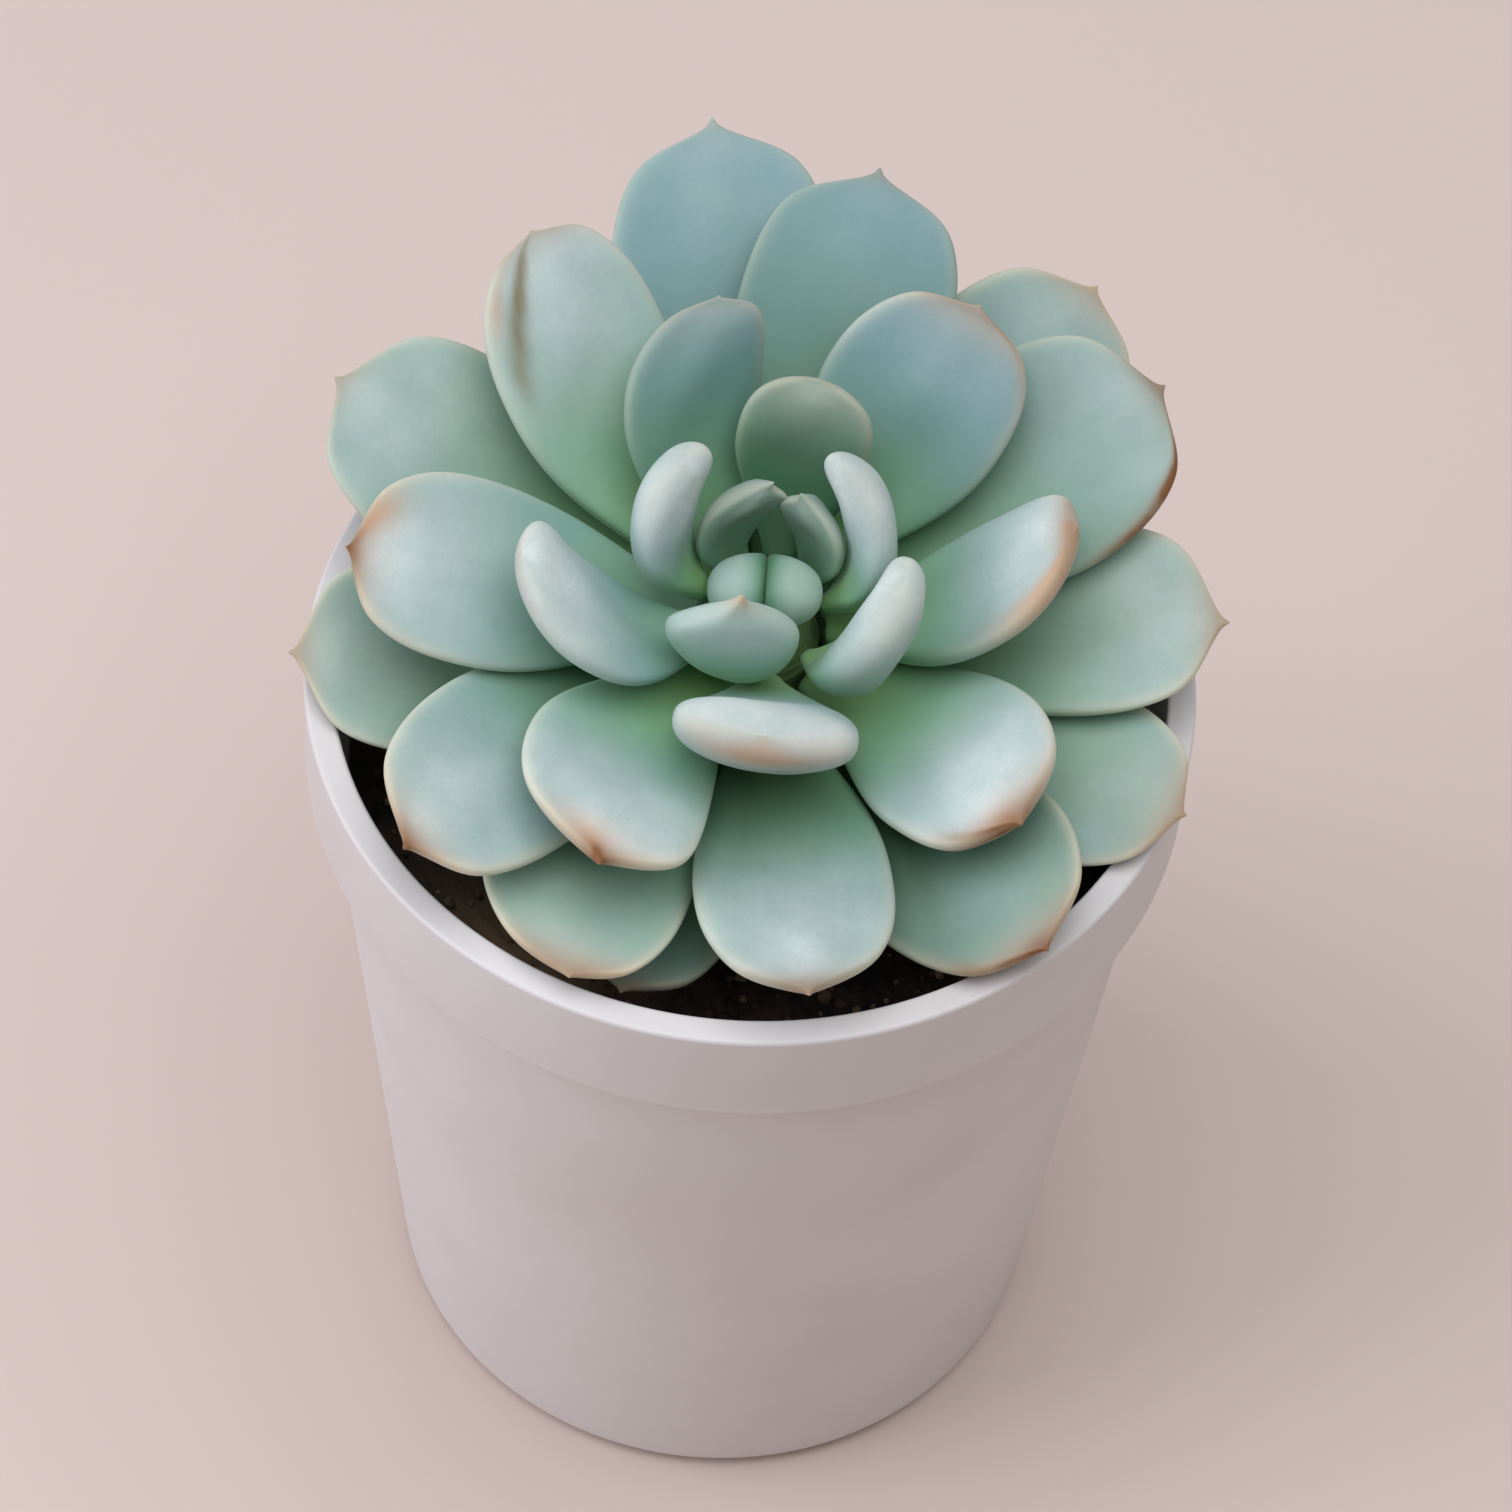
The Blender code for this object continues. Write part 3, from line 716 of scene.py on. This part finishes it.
BLADES = (
    # lowest ring, near the lip
    Blade(
        "low_front", 254, 2.5, 41, 13, 17, 3.6, -6, cusp=1.4, blue=0.1, farina=0.05, core_length=1.2,
        painted_shade=0.15,
    ),
    Blade(
        "low_front_left", 249, 5.9, 45, 22.5, 22.5, 3.3, 4, roll=9, sway=14, cusp=0.9, blue=0.15, farina=0.3,
        core_length=1.1, warm=0.8,
    ),
    Blade(
        "low_left", 188, 3.2, 47.5, 15.8, 21.3, 3.2, -4, roll=-7, cusp=2.2, blue=0.15, farina=0.4,
        core_length=1.1, warm=0.6, cork=0.4,
    ),
    Blade("low_back_left", 136, 3.5, 38, 9, 16, 3.8, -4),
    Blade("low_back", 94, 1.5, 36, 4.5, 15, 3.8, -4),
    Blade(
        "low_back_right", 52, 5, 51.8, 17.2, 22, 4.0, 8, roll=16, cusp=1.8, farina=0.4, painted_shade=0.4, warm=0.7,
        cork=0.3,
    ),
    Blade("low_right_back", 16, 2, 34, 6, 15, 3.8, -4),
    Blade(
        "low_right", 337, 2.2, 46.8, 17.9, 20.5, 2.8, -6, 0.08, cusp=1.4, blue=0.1, farina=0.4,
        core_length=1.1, warm=0.8,
    ),
    Blade(
        "low_front_right", 310, 7, 46.5, 22.5, 22, 4.0, 1, roll=13, cusp=1.4, blue=0.1, farina=0.2, painted_shade=0.75,
        warm=0.8, cork=0.9,
        marks=(Mark(0.95, -0.95, 0.08, 0.14, 0.75),),
    ),
    # outer ring
    Blade(
        "outer_front", 279, 11.5, 44.8, 28, 19.5, arch=12, cusp=1.7, blue=0.4, farina=0.7, core=1.0, painted_shade=0.5,
        cork=1.0,
    ),
    Blade(
        "outer_left_front", 224, 10.8, 45.8, 27.2, 20.5, 4.2, 6, sway=8, cusp=2.0, farina=0.65, painted_shade=0.15,
        warm=0.8, cork=1.0,
    ),
    Blade(
        "outer_left_back", 154, 10.8, 50, 21, 22.5, 4.1, roll=-6, cusp=2.0, farina=0.5, core_length=1.05,
        painted_shade=0.4, cork=0.4,
    ),
    Blade(
        "outer_back", 99, 7.5, 57.5, 18.2, 23.5, cusp=2.6, blue=0.95, farina=0.25, core=0.6, painted_shade=0.35,
        warm=0.15, cork=0.1,
    ),
    Blade(
        "outer_back_right", 80, 12.5, 50, 23.5, 22, cusp=2.4, blue=1.0, farina=0.15, painted_shade=0.55, warm=0.15,
        cork=0.3,
    ),
    Blade(
        "outer_right_back", 34, 13.5, 46.8, 24, 23.5, 4.3, 8, roll=10, cusp=1.8, blue=0.45, farina=0.4,
        core=0.7, core_length=1.1, painted_shade=0.25, cork=0.9,
        marks=(Mark(0.9, -0.97, 0.12, 0.09, 1.0), Mark(0.76, -0.99, 0.14, 0.06, 0.9)),
    ),
    Blade(
        "outer_right", 3, 8.8, 46.6, 19.4, 21.5, 4.0, 6, roll=-4, sway=-4, cusp=2.3, blue=0.0, farina=0.6,
        core=0.65, core_length=1.15, warm=0.7,
    ),
    # middle ring
    Blade(
        "middle_left", 180, 16.6, 41.5, 27.2, 20, 4.5, 14, roll=-6, cusp=1.3, farina=0.8, core=0.4,
        core_length=0.9, warm=0.7, cork=1.0,
        marks=(Mark(0.93, -0.6, 0.07, 0.3, 0.6, Tone.BLUSH),),
    ),
    Blade(
        "middle_front_left", 247.5, 15.7, 36.3, 31, 20.3, 4.3, 22, sway=14, cusp=2.3, farina=1.0, warm=0.8,
        cork=1.0,
        marks=(Mark(0.985, -0.3, 0.03, 0.4, 0.55), Mark(0.95, -0.25, 0.07, 0.5, 0.5, Tone.BLUSH)),
    ),
    Blade(
        "middle_front_right", 317, 13, 36.2, 27.4, 19.5, 5.0, 22, sway=-8, cusp=1.6, farina=1.0, warm=0.8,
        cork=1.0,
        marks=(Mark(0.94, -0.9, 0.1, 0.12, 0.6), Mark(0.97, -0.4, 0.05, 0.5, 0.45, Tone.BLUSH)),
    ),
    Blade(
        "middle_back_right", 57.5, 17.2, 36.3, 30, 20, 4.5, 20, roll=13, cusp=1.0, blue=0.95, farina=0.3,
        painted_shade=0.3, warm=0.6,
        marks=(Mark(0.93, -0.93, 0.1, 0.1, 0.4),),
    ),
    Blade(
        "middle_back_left", 126, 14.5, 44.5, 29, 19, 5.0, 18, sway=-6, cusp=0.8, blue=0.3, farina=0.7,
        cork=0.5,
        marks=(
            Mark(0.94, 0.4, 0.05, 0.1, 0.8, Tone.SCAR, Face.UPPER),
            Mark(0.87, 0.5, 0.06, 0.1, 0.9, Tone.SCAR, Face.UPPER),
            Mark(0.79, 0.62, 0.07, 0.1, 0.8, Tone.SCAR, Face.UPPER),
            Mark(0.7, 0.74, 0.07, 0.1, 0.6, Tone.SCAR, Face.UPPER),
            Mark(0.87, 0.85, 0.07, 0.12, 0.6, Tone.BLUSH, Face.UPPER),
        ),
    ),
    Blade(
        "middle_back", 103, 18.5, 29.5, 31.5, 14.5, 4.8, 26, sway=-18, cusp=0.6, nub=0.2, plump=0.3, blue=0.9,
        farina=0.1, painted_shade=0.6, warm=0.3, cork=0.1,
    ),
    Blade(
        "middle_right", 13, 16.5, 31.2, 29.5, 15.5, 5.2, 30, roll=-20, sway=12, cusp=0.5, nub=0.2, plump=0.3,
        blue=0.6, farina=0.9,
        marks=(Mark(0.88, -0.95, 0.2, 0.2, 0.9, Tone.BLUSH), Mark(0.99, -0.2, 0.04, 0.8, 0.7, Tone.BLUSH)),
    ),
    # inner ring, upright
    Blade(
        "inner_back", 79, 20.1, 19.7, 33, 13.5, 4.1, 30, 0.2, cusp=0.2, nub=0.1, plump=0.4, blue=0.1,
        farina=0.15, core_length=1.0, painted_shade=0.95, warm=0.35, cork=0,
    ),
    Blade(
        "inner_left", 184, 19.4, 24, 32.2, 13.5, 5.2, 40, 0.3, sway=-24, core=0.4, core_length=0.6, **FINGER,
        marks=(Mark(0.97, 0.0, 0.14, 0.9, 0.25, Tone.BLUSH, Face.UNDER),),
    ),
    Blade(
        "inner_front", 273, 17.5, 20, 33.5, 18.2, 6.9, 50, 0.16, -9, square=1, core_length=0.45, warm=0.3,
        **FINGER,
        marks=(
            Mark(0.95, 0.0, 0.06, 0.8, 0.8, Tone.BLUSH, Face.UNDER),
            Mark(0.78, 0.0, 0.1, 1.2, 0.4, Tone.SCAR, Face.UNDER),
        ),
    ),
    Blade("inner_front_right", 353, 19, 13.9, 33.7, 9.2, 6.0, 50, 0.3, sway=38, **FINGER),
    Blade("inner_back_left", 136, 21, 12, 35.7, 9.6, 5.6, 60, 0.3, sway=-34, blue=0.6, **FINGER),
    Blade("inner_back_right", 56, 20.5, 11.8, 34.3, 7.8, 5.0, 60, 0.3, sway=50, blue=0.6, **FINGER),
    # bud
    Blade(
        "bud_front", 248, 21.1, 5.7, 33.7, 14.0, arch=60, cup=0.12, roll=42, cusp=3.4, nub=1.3, plump=0.7,
        square=0.8, blue=0.3, farina=0.7, warm=0.1, cork=0.1, foot=0.5,
        marks=(Mark(1.0, 0.0, 0.08, 3.0, 0.75, Tone.BLUSH),),
    ),
    Blade(
        "bud_back_left", 89, 21, 8, 32, 8.6, 2.6, 45, 0.3, sway=-47, cusp=1.6, plump=0.25, blue=0.4,
        farina=0.25, core=0.6, core_length=1.0, painted_shade=0.6, warm=0.2, cork=0,
    ),
    Blade(
        "bud_back_right", 69, 20.7, 7.8, 31.4, 7.8, 2.4, 45, 0.3, sway=32, cusp=1.6, plump=0.25, blue=0.4,
        farina=0.2, core=0.6, core_length=1.0, painted_shade=0.65, warm=0.2, cork=0,
    ),
)


class Side(Enum):
    """Which of the two closed leaves of the bud."""

    LEFT = -1
    RIGHT = 1


@dataclass(frozen=True)
class BudHalf:
    """One of the two youngest leaves, still closed against each other over the end of the stem."""

    side: Side
    width: float = 5.7 * MM  # from the seam outwards
    half_depth: float = 3.7 * MM
    half_height: float = 3.3 * MM
    lift: float = 0.2 * MM
    seam_gap: float = 0.06 * MM
    seam_round: float = 0.7 * MM
    seam_share: float = 0.86  # size of the face at the seam, as a share of the depth and height
    fullness: float = 0.85  # 1 for the outline of an ellipsoid, less for a fuller one
    squareness: float = 0.9  # 1 for a round section, less for a squarer one
    sides: int = 72

    def profile(self) -> Array:
        """Outline (distance from the seam, share of the depth and height), a rounded flat and then a dome."""
        turn = np.radians(np.linspace(90, 0, 9))[:-1]
        size = self.seam_share + (1 - self.seam_share) * np.cos(turn)
        corner = np.stack([(1 - np.sin(turn)) * self.seam_round, size], 1)
        swell = np.linspace(0, pi / 2, 34)[:-1]
        reach = self.seam_round + (self.width - self.seam_round) * np.sin(swell)
        dome = np.stack([reach, np.cos(swell) ** self.fullness], 1)
        return np.concatenate([[(0, 0.45)], corner, dome])

    def build(self, stem: Stem, seat: Seat, finish: Any) -> None:
        """Makes half of a squarish egg, its outline turned round the level axis that crosses the seam.

        Args:
            stem: the stem it grows on.
            seat: where the rosette stands.
            finish: the leaf's material.
        """
        profile = self.profile()
        angle = np.linspace(0, 2 * pi, self.sides, endpoint=False)[None, :]
        way = self.side.value
        shape = [
            way * profile[:, :1] + 0 * angle,
            self.half_depth * profile[:, 1:] * power(np.cos(way * angle), self.squareness),
            self.half_height * profile[:, 1:] * power(np.sin(way * angle), self.squareness),
        ]
        base = stem.profile[-1][0] * MM + stem.cap + self.lift
        cloud, faces = closed_tube(np.stack(shape, 2), (0, 0, 0), (way * self.width, 0, 0))
        place = np.array([way * self.seam_gap / 2, 0, base + self.half_height])
        name = "bud_" + self.side.name.lower()
        piece = mesh_piece("skin_" + name, seat.to_world(cloud + place), faces, finish)
        off_seam = np.abs(cloud[:, 0])
        none = np.zeros(len(cloud))
        weights = dict.fromkeys(("margin", "blush", "scar", "cork"), none)
        weights |= {"core": none + 0.3, "blue": none + 0.5}
        weights["farina"] = 0.4 * smoothstep(0.5 * MM, 3 * MM, off_seam)
        # painted shade: a little all over, and most in the crease along the seam between the halves
        weights["painted_shade"] = 0.2 + 0.75 * bell(off_seam, 0.9 * MM)
        paint(piece, weights)
        lay_fibre(piece, cloud / MM)
        stand_in(piece, "leaf_" + name)


@dataclass
class Rosette:
    """The plant: its stem, the open leaves and the closed bud."""

    seat: Seat
    soil_level: float
    stem: Stem = field(default_factory=Stem)

    def build(self) -> None:
        """Makes and dresses every piece of the plant."""
        self.stem.build(self.seat, self.soil_level, StemBark().build())
        skin = WaxyLeafSkin().build()
        for blade in BLADES:
            blade.build(self.stem, self.seat, skin)
        for side in Side:
            BudHalf(side).build(self.stem, self.seat, skin)


# ---- pot and soil ----


@dataclass
class Pot:
    """A tapered pot with a raised rim band, its sizes read from the solid where they can be."""

    height: float
    rim: float
    band_proud: float = 2.2 * MM
    foot: float = 35.4 * MM
    band_height: float = 12.7 * MM
    wall: float = 1.8 * MM
    floor: float = 3.0 * MM
    foot_round: float = 3.0 * MM
    lip_round: float = 0.45 * MM
    band_round: float = 0.5 * MM
    step_round: float = 0.9 * MM  # of the hollow corner under the band
    inner_round: float = 2.5 * MM
    drain_holes: int = 4
    drain_radius: float = 2.5 * MM
    drain_circle: float = 18 * MM
    drain_sides: int = 32
    sides: int = 200

    @classmethod
    def from_frame(cls) -> "Pot":
        """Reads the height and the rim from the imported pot."""
        low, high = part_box("pot")
        return cls(height=high.z - low.z, rim=(high.x - low.x) / 2)

    def outside(self, z: float) -> float:
        """Outside radius of the tapering body at a height."""
        under = self.height - self.band_height
        return self.foot + (self.rim - self.band_proud - self.foot) * z / under

    def inside(self, z: float) -> float:
        """Inside radius at a height."""
        return self.outside(z) - self.wall

    def profile(self) -> Array:
        """Outline (r, z) from the middle of the foot, up the outside, over the lip and down to the floor."""
        under = self.height - self.band_height
        corner = self.inside(self.floor + self.inner_round) - self.inner_round
        lip, step = self.height - self.lip_round, self.step_round
        walls = [
            arc(self.outside(self.foot_round) - self.foot_round, self.foot_round, self.foot_round, -90, 0),
            [(self.outside(under - below), under - below) for below in (2 * MM, step)],
            arc(self.outside(under) + step, under - step, step, 180, 90, 4)[1:],
            arc(self.rim - self.band_round, under + self.band_round, self.band_round, -85, 0, 6),
            [(self.rim, (under + self.height) / 2)],
            arc(self.rim - self.lip_round, lip, self.lip_round, 0, 90),
            arc(self.inside(self.height) + self.lip_round, lip, self.lip_round, 90, 180),
            arc(corner, self.floor + self.inner_round, self.inner_round, 0, -90),
        ]
        return np.concatenate([np.array(block) for block in walls])

    def build(self) -> None:
        """Makes the pot: the outline turned round Z, less the drain holes."""
        cloud, faces = closed_tube(turned(self.profile(), self.sides), (0, 0, 0), (0, 0, self.floor))
        finish = MouldedPlastic().build()
        blank = mesh_piece("pot_blank", cloud, faces, finish, sharp=35)
        cutters = [self.cutter(hole, finish) for hole in range(self.drain_holes)]
        for cutter in cutters:
            cut = blank.modifiers.new("Drain", "BOOLEAN")
            cut.operation = "DIFFERENCE"
            cut.solver = "EXACT"
            cut.object = cutter
        bpy.context.view_layer.update()
        solved = blank.evaluated_get(bpy.context.evaluated_depsgraph_get())
        piece = bpy.data.objects.new("pot_shell", bpy.data.meshes.new_from_object(solved))
        bpy.context.scene.collection.objects.link(piece)
        for scrap in [blank, *cutters]:
            bpy.data.objects.remove(scrap, do_unlink=True)
        stand_in(piece, "pot")

    def cutter(self, hole: int, finish: Any) -> Any:
        """A cylinder through the floor where a drain hole goes."""
        low, high = -self.floor, 2 * self.floor
        rings = turned(np.array([(self.drain_radius, low), (self.drain_radius, high)]), self.drain_sides)
        angle = 2 * pi * (hole + 0.5) / self.drain_holes
        centre = np.array([self.drain_circle * cos(angle), self.drain_circle * sin(angle), 0])
        cloud, faces = closed_tube(rings, (0, 0, low), (0, 0, high))
        return mesh_piece(f"drain_{hole}", cloud + centre, faces, finish)


@dataclass
class SoilBed:
    """The soil in the pot: a rough crumbly surface with loose crumbs lying on it."""

    pot: Pot
    drop: float = 15 * MM
    mound: float = 1.5 * MM
    edge: float = 1.0 * MM
    rings: int = 110
    sides: int = 220
    crumbs: int = 1500
    seed: int = 7

    @property
    def level(self) -> float:
        """Height of the soil at the wall."""
        return self.pot.height - self.drop

    def surface(self, r: Array) -> Array:
        """Height of the smooth surface at a radius: highest in the middle, falling away at the wall."""
        rim = self.pot.inside(self.level) - GAP
        radii = [0, rim * 0.3, rim * 0.6, rim - 2 * self.edge, rim]
        heights = [self.mound, self.mound, self.mound * 0.4, 0, -self.edge]
        return self.level + np.interp(r, radii, heights)

    def rough(self, x: Array, y: Array) -> Array:
        """Lumps of the surface: a sum of waves in random directions, from 9 mm down to 1.2 mm long."""
        rng = np.random.default_rng(self.seed)
        total = np.zeros(np.broadcast(x, y).shape)
        for length in np.geomspace(9, 1.2, 26):
            turn, phase = rng.uniform(0, 2 * pi, 2)
            wave = np.sin((x * cos(turn) + y * sin(turn)) * 2 * pi / (length * MM) + phase)
            total += 0.055 * length**0.8 * MM * (np.abs(wave) ** 0.7 - 0.6)
        return total

    def build(self) -> None:
        """Makes the body of soil and its loose crumbs."""
        finish = PottingSoil().build()
        bottom = self.pot.floor + GAP
        corner = self.pot.inner_round
        low_edge = self.pot.inside(bottom + corner) - GAP
        wall = arc(low_edge - corner, bottom + corner, corner, -90, 0)
        rim = self.pot.inside(self.level) - GAP
        side = np.array([(rim, self.level - self.edge - 1 * MM)])
        radii = rim * np.sqrt(np.linspace(1, 0, self.rings + 1)[:-1])
        top = np.stack([radii, self.surface(radii)], 1)
        profile = np.concatenate([wall, side, top])
        points = turned(profile, self.sides)
        cover = points[len(wall) + 1 :]
        fade = smoothstep(0, 3 * MM, rim - radii)[:, None]
        cover[:, :, 2] += self.rough(cover[:, :, 0], cover[:, :, 1]) * fade
        cloud, faces = closed_tube(points, (0, 0, bottom), (0, 0, cover[-1, :, 2].mean()))
        bed = mesh_piece("soil_bed", cloud, faces, finish)
        # painted light: a paler patch where light falls on the soil at the front left
        paint(bed, {"pale_fibre_and_painted_light": 0.9 * self.pale_fibre_and_painted_light(cloud[:, 0], cloud[:, 1])})
        stand_in(bed, "soil")
        self.loose(finish)

    def pale_fibre_and_painted_light(self, x: Array, y: Array) -> Array:
        """A painted pool of light on the soil: a paler patch at the front left, by the wall."""
        return np.exp(-(((x + 22 * MM) / (9 * MM)) ** 2) - ((y + 29 * MM) / (8 * MM)) ** 2)

    def loose(self, finish: Any) -> None:
        """Makes loose crumbs: a rough twelve-cornered stone copied, turned, stretched and set down."""
        rng = np.random.default_rng(self.seed + 1)
        golden = (1 + sqrt(5)) / 2
        corners = [(0, 1, golden), (0, -1, golden), (0, 1, -golden), (0, -1, -golden)]
        four = np.array(corners) / hypot(1, golden)
        stone = np.concatenate([four, four[:, [2, 0, 1]], four[:, [1, 2, 0]]])
        sides = self.hull_faces(stone)
        rim = self.pot.inside(self.level) - 2.5 * MM
        r = rim * np.sqrt(rng.uniform(0.02, 1, self.crumbs))
        turn = rng.uniform(0, 2 * pi, self.crumbs)
        x, y = r * np.cos(turn), r * np.sin(turn)
        size = 0.25 * MM + 0.75 * MM * rng.uniform(0, 1, self.crumbs) ** 3
        stretch = rng.uniform(0.6, 1.35, (self.crumbs, 1, 3)) * size[:, None, None]
        angles = rng.uniform(0, 2 * pi, (self.crumbs, 3))
        spin = np.array([Euler(row).to_matrix() for row in angles])
        bumps = rng.uniform(0.75, 1.15, (self.crumbs, len(stone), 1))
        shape = np.einsum("nij,nkj->nki", spin, stone[None] * bumps * stretch)
        z = self.surface(r) + self.rough(x, y) + 0.3 * size
        cloud = (shape + np.stack([x, y, z], 1)[:, None, :]).reshape(-1, 3)
        faces = (np.arange(self.crumbs)[:, None, None] * len(stone) + sides[None]).reshape(-1, 3)
        piece = mesh_piece("soil_crumbs", cloud, [faces], finish)
        # pale fibres at random, and the painted pool of light at the front left
        pale = rng.uniform(0, 1, self.crumbs) ** 4 * 0.8 + 0.8 * self.pale_fibre_and_painted_light(x, y)
        paint(piece, {"pale_fibre_and_painted_light": np.repeat(np.clip(pale, 0, 1), len(stone))})
        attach(piece, "root")
        log.info("%s: %d crumbs", piece.name, self.crumbs)

    @staticmethod
    def hull_faces(stone: Array) -> Array:
        """The twenty triangles of the stone: corners an edge apart, turned to face out."""
        apart = np.linalg.norm(stone[:, None] - stone[None], axis=2)
        near = (apart > 0.1) & (apart < 1.2)
        trios = np.array([(i, j, k) for i in range(12) for j in range(i) for k in range(j)])
        i, j, k = trios.T
        trios = trios[near[i, j] & near[j, k] & near[i, k]]
        a, b, c = (stone[trios[:, column]] for column in range(3))
        inward = np.einsum("ij,ij->i", np.cross(b - a, c - a), a) < 0
        trios[inward] = trios[inward][:, ::-1]
        return trios


# ---- studio ----


@dataclass(frozen=True)
class Lamp:
    """A square soft light."""

    name: str
    place: tuple[float, float, float]
    size: float
    watts: float
    tint: str

    def build(self, aim: Vector) -> None:
        """Hangs the light so that it faces a point."""
        data = bpy.data.lights.new(self.name, "AREA")
        data.size = self.size
        data.energy = self.watts
        data.color = linear(self.tint)[:3]
        lamp = bpy.data.objects.new(self.name, data)
        lamp.location = self.place
        lamp.rotation_euler = (aim - Vector(self.place)).to_track_quat("-Z", "Y").to_euler()
        bpy.context.scene.collection.objects.link(lamp)


@dataclass
class Studio:
    """Plain pale floor, soft light from above and from the left, and the camera."""

    aim: Vector = field(default_factory=lambda: Vector((1.1 * MM, 0, 85.5 * MM)))
    distance: float = 0.6
    elevation: float = 53.86  # degrees
    roll: float = 4.11  # degrees
    lens: float = 139.0  # mm, on a sensor 36 mm wide
    floor_tone: str = "#d9c7be"
    floor_half: float = 3.0
    tooth_mm: float = 1.5  # of the card's surface
    air_tone: str = "#f1e9e3"
    air_strength: float = 0.24
    lamps: tuple[Lamp, ...] = (
        Lamp("top_light", (0.08, -0.05, 1.40), 1.5, 17.2, "#f4f7ff"),
        Lamp("window_light", (-1.0, -0.15, 0.60), 0.9, 7.5, "#eef2ff"),
    )

    def build(self) -> None:
        """Makes the floor, the lights, the air's own light and the camera."""
        self.floor()
        for lamp in self.lamps:
            lamp.build(self.aim)
        world = bpy.data.worlds.new("studio_air")
        bpy.context.scene.world = world
        world.use_nodes = True
        air = world.node_tree.nodes["Background"]
        fill(world.node_tree, air, Color=linear(self.air_tone), Strength=self.air_strength)
        bpy.context.scene.view_settings.view_transform = "Standard"
        self.camera()

    def floor(self) -> None:
        """A wide flat sheet of pale card under the pot."""
        made, tree, shader = new_material("Matt pale card", linear(self.floor_tone))
        place = add_node(tree, "TexCoord").outputs["Object"]
        tooth = add_node(tree, "TexNoise", Vector=place, Scale=per_mm(self.tooth_mm), Detail=3.0)
        bump = add_node(tree, "Bump", Strength=0.1, Distance=0.1 * MM, Height=tooth)
        fill(tree, shader, Base_Color=linear(self.floor_tone), Normal=bump, Roughness=0.85)
        low = -0.05 * MM  # just under the pot's foot
        around = np.array([(-1, -1, 0), (1, -1, 0), (1, 1, 0), (-1, 1, 0)])
        corners = around * self.floor_half + (0, 0, low)
        card = mesh_piece("floor_card", corners, [np.array([[0, 1, 2, 3]])], made)

    def camera(self) -> None:
        """A long lens that looks down on the rosette from the front, held a little askew."""
        data = bpy.data.cameras.new("view")
        data.lens = self.lens
        data.sensor_width = 36.0
        lift = radians(self.elevation)
        camera = bpy.data.objects.new("view", data)
        camera.location = self.aim + self.distance * Vector((0, -cos(lift), sin(lift)))
        look = (self.aim - camera.location).to_track_quat("-Z", "Y").to_matrix()
        camera.rotation_euler = (look @ Matrix.Rotation(radians(self.roll), 3, "Z")).to_euler()
        bpy.context.scene.collection.objects.link(camera)
        bpy.context.scene.camera = camera


def main() -> None:
    """Builds the pot, the soil, the plant and the studio."""
    logging.basicConfig(level=logging.INFO, format="%(name)s: %(message)s")
    studio = Studio()
    studio.build()
    pot = Pot.from_frame()
    pot.build()
    soil = SoilBed(pot)
    soil.build()
    seat = Seat.from_frame()
    Rosette(seat, soil.level).build()


if __name__ == "__main__":
    main()
